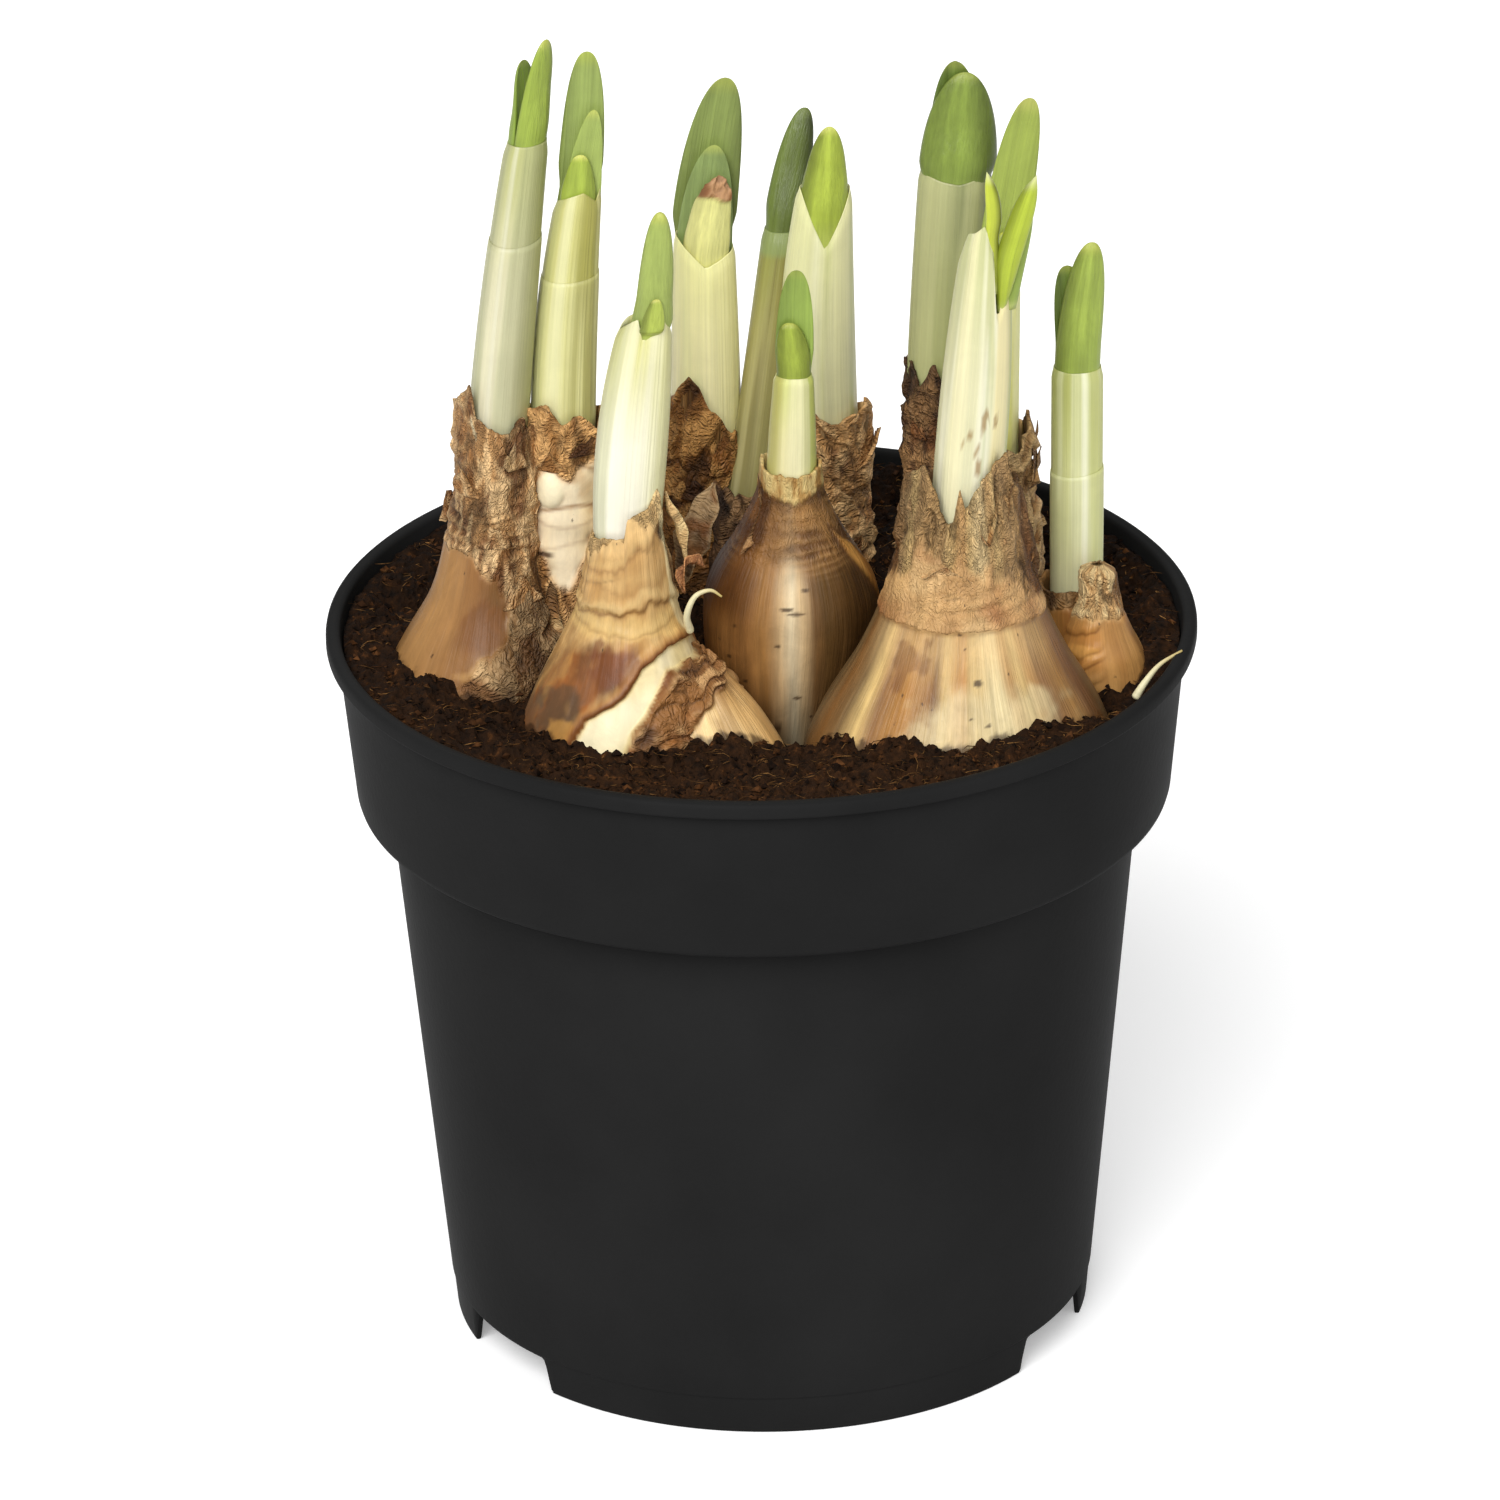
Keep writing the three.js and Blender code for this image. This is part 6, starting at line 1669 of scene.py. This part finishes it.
base = stir(tree, 1.0, base, grey(tree, front_lit_back_shaded), "MULTIPLY")
tree.links.new(base, sockets["Base Color"])
tree.links.new(between(tree, crumbs, 0.3, 0.7, 0.75, 0.98), sockets["Roughness"])
tree.links.new(bump(tree, sums(tree, "ADD", crumbs, grains), 0.0006), sockets["Normal"])
piece("peat_soil", [soil_shell], SOIL, ["soil"])


# %% Crumbs and fibres
CRUMB, tree, sockets = finish("peat crumbs and fibres", Specular_IOR_Level=0.1)
tint = attribute(tree, "tint")["Vector"]
place = node(tree, "TexCoord").outputs["Object"]
crumbs = cloud(tree, place, 700.0, 4.0)
base = stir(tree, between(tree, crumbs, 0.35, 0.7), tint, colour("#20140d"), "MULTIPLY")
tree.links.new(base, sockets["Base Color"])
tree.links.new(between(tree, crumbs, 0.3, 0.7, 0.75, 0.95), sockets["Roughness"])


def open_soil(count, margin=0.5):
    """Random places on the soil that no bulb covers."""
    found = np.zeros((0, 2))
    while len(found) < count:
        p = rng.uniform(-SOIL_RADIUS, SOIL_RADIUS, (4 * count, 2))
        keep = np.hypot(*p.T) < SOIL_RADIUS - 0.8
        level = soil_level(*p.T)
        for nose in NOSES.values():
            mx, my, across, deep = nose_frame(nose, np.clip(level, nose["girth"][0][0], nose["girth"][-1][0]))
            keep &= (np.hypot((p[:, 0] - mx) / across, (p[:, 1] - my) / deep) - 1) * across > -margin
        found = np.concatenate([found, p[keep]])
    return found[:count]


LUMP = np.array([[1, 0, 0], [-1, 0, 0], [0, 1, 0], [0, -1, 0], [0, 0, 1], [0, 0, -1]], float)
LUMP_FACES = np.array([[0, 2, 4], [2, 1, 4], [1, 3, 4], [3, 0, 4],
                       [2, 0, 5], [1, 2, 5], [3, 1, 5], [0, 3, 5]])


def lump_mesh(places, sizes, tints):
    """Eight-faced lumps: an octahedron with every corner moved at random."""
    n = len(places)
    corners = LUMP[None] * rng.uniform(0.55, 1.2, (n, 6, 1)) + rng.normal(0, 0.16, (n, 6, 3))
    spin = rng.uniform(0, 2 * np.pi, n)
    c, s = np.cos(spin)[:, None], np.sin(spin)[:, None]
    corners = np.stack([corners[..., 0] * c - corners[..., 1] * s, corners[..., 0] * s + corners[..., 1] * c,
                        0.75 * corners[..., 2]], -1) * sizes[:, None, None]
    points = (places[:, None] + corners).reshape(-1, 3)
    tris = (LUMP_FACES[None] + 6 * np.arange(n)[:, None, None]).reshape(-1, 3)
    return shell(points, np.zeros((0, 4), int), tris, {"tint": np.repeat(tints, 6, axis=0)})


def on_soil(flat, above):
    """Places on the ground as points, lifted above it."""
    return np.column_stack([flat, soil_height(*flat.T) + above])


flat = open_soil(CRUMBS)
sizes = 0.25 + 0.95 * rng.random(len(flat)) ** 4
tints = mix("#1b0e06", "#5e3a1c", rng.random(len(flat)) ** 2.6)
piece("peat_crumbs", [lump_mesh(on_soil(flat, 0.2 * sizes), sizes, tints)], CRUMB, smooth=False)


# %% Fibres
def strand_mesh(places, headings, lengths, radii, tints, steps=4):
    """Bent fibres with a three-sided section: each runs along a random bow over the soil."""
    n = len(places)
    t = np.linspace(-0.5, 0.5, steps)[None]
    bow = rng.normal(0, 0.3, (n, 1))
    along_x, along_y = np.cos(headings)[:, None], np.sin(headings)[:, None]
    run, off = lengths[:, None] * t, lengths[:, None] * bow * (t * t * 4 - 0.3)
    x = places[:, :1] + run * along_x - off * along_y
    y = places[:, 1:2] + run * along_y + off * along_x
    slope = rng.normal(0, 0.16, (n, 1))
    z = places[:, 2:] + lengths[:, None] * slope * t + 0.25 * lengths[:, None] * (0.25 - t * t)
    centre = xyz(x, y, z)
    a = np.radians([90, 210, 330])
    across = xyz(-along_y, along_x, 0 * along_x)[:, :, None]
    ring = across * np.cos(a)[:, None] + np.array([0, 0, 1.0]) * np.sin(a)[:, None]
    fade = np.sqrt(np.clip(1.06 - 4 * t * t, 0.05, 1))
    points = centre[:, :, None] + ring * (radii[:, None] * fade)[..., None, None]
    at = np.arange(n * steps * 3).reshape(n, steps, 3)
    beside = np.roll(at, -1, axis=2)
    quads = np.stack([at[:, :-1], beside[:, :-1], beside[:, 1:], at[:, 1:]], -1).reshape(-1, 4)
    tris = np.concatenate([at[:, 0, ::-1], at[:, -1]])
    return shell(points.reshape(-1, 3), quads, tris, {"tint": np.repeat(tints, steps * 3, axis=0)})


flat = open_soil(FIBRES)
lengths = 1.0 + 5.0 * rng.random(len(flat)) ** 2.5
tints = mix("#432812", "#a87a45", rng.random(len(flat)) ** 2.2)
piece("peat_fibres", [strand_mesh(on_soil(flat, 0.25), rng.uniform(0, 2 * np.pi, len(flat)), lengths,
                                  rng.uniform(0.04, 0.1, len(flat)), tints)], CRUMB)


# %% [markdown]
# ## Pale roots
# Three thin roots curl out of the peat: one beside the front left bulb, one behind the middle one and one at
# the right rim. A tube along a few points, smoothed by the same cubic, does it.

# %% Root curls
ROOTS = {  # points along the root, thickness and seed
    "front": ([(-12.0, -29, 140), (-12.6, -31, 144), (-11.2, -32, 148), (-8.6, -32, 149.2),
               (-6.6, -32, 148)], 0.75, 5),
    "rear": ([(17.6, 6, 126.5), (18.6, 5, 128.6), (20.2, 4, 130), (21.8, 4, 129.9)], 0.6, 9),
    "rim": ([(63.5, -21, 122.5), (65.4, -20.2, 125.3), (68, -18.6, 127.8), (71.8, -17, 129.6)], 0.8, 13),
}
for name, (knots, thick, seed) in ROOTS.items():
    path = through(knots, 40)
    share = np.linspace(0, 1, 40)
    radii = thick * (1 - 0.75 * share) * np.sqrt(np.clip(share * 30, 0.1, 1))
    tint = mix("#ece3b8", "#b9a25e", ease(share * 1.4 - 0.5))
    piece(f"root_curl_{name}", [tube(path, radii, 10, worn(tint, path + seed))], ROOT)

# %% [markdown]
# ## Studio
# A product picture of this kind is lit softly over a white sweep. A white floor, an even pale world and
# three lamps give that: a broad sun high at the front left for shape, a square lamp at the front right to
# open the shadows, and one behind for the edges.

# %% Floor, light and camera
FLOOR_HALF, FLOOR_GLOW, WORLD_LIGHT = 6, 0.3, 0.36
AIM = np.array([0, 0, 0.12])  # the middle of the pot, in metres

FLOOR, tree, sockets = finish("white floor", Roughness=0.9, Specular_IOR_Level=0.1)
place = node(tree, "TexCoord").outputs["Object"]
faint = cloud(tree, place, 1.5, 2.0)
tree.links.new(stir(tree, faint, (0.93, 0.93, 0.93), (0.95, 0.95, 0.95)), sockets["Base Color"])
sockets["Emission Color"].default_value = (1, 1, 1, 1)
seen = node(tree, "LightPath").outputs["Is Camera Ray"]  # a touch of glow keeps the sweep white
tree.links.new(times(tree, seen, FLOOR_GLOW), sockets["Emission Strength"])
floor_mesh = bpy.data.meshes.new("floor")
corners = [(x * FLOOR_HALF, y * FLOOR_HALF, 0) for x, y in ((-1, -1), (1, -1), (1, 1), (-1, 1))]
floor_mesh.from_pydata(corners, [], [(0, 1, 2, 3)])
floor_mesh.materials.append(FLOOR)
put("floor", floor_mesh)

world = bpy.data.worlds.new("pale studio")
world.use_nodes = True
world.node_tree.nodes["Background"].inputs[0].default_value = (1, 1, 1, 1)
world.node_tree.nodes["Background"].inputs[1].default_value = WORLD_LIGHT
bpy.context.scene.world = world


def placed(name, data, right, up, back, place=(0, 0, 0)):
    """Puts a lamp or camera in the scene with the given axes; it looks away from back."""
    made = put(name, data)
    matrix = np.eye(4)
    matrix[:3, :] = np.column_stack([right, up, back, place])
    made.matrix_world = Matrix(matrix.tolist())
    return made


def lamp(name, kind, power, back, place=(0, 0, 0), **settings):
    """A lamp that shines against the direction back, level from left to right."""
    data = bpy.data.lights.new(name, kind)
    data.energy = power
    for key, value in settings.items():
        setattr(data, key, value)
    back = np.array(back, float) / np.linalg.norm(back)
    right = np.cross([0, 0, 1.0], back)
    right /= np.linalg.norm(right)
    placed(name, data, right, np.cross(back, right), back, place)


for name, place, power in (("fill", (1.2, -1.0, 0.9), 3), ("back", (-0.2, 1.3, 1.5), 6)):
    lamp(name, "AREA", power, np.array(place) - AIM, place, shape="SQUARE", size=0.9)
lamp("key", "SUN", 2.9, (-0.22, -0.72, 0.66), angle=math.radians(38))

lens = bpy.data.cameras.new("camera")
lens.lens, lens.sensor_width, lens.sensor_fit = 301.18, 36.0, "HORIZONTAL"
lens.clip_start, lens.clip_end = 0.05, 50.0
bpy.context.scene.camera = placed(  # from the front, looking down by 25 degrees, tipped by less than one
    "camera", lens, right=(0.99986856, -0.00595707, -0.01507931), up=(0.016178, 0.42793581, 0.90366433),
    back=(0.00106979, -0.9037895, 0.42797593), place=(0, -1.96146, 1.03288))
bpy.context.scene.view_settings.view_transform = "Standard"
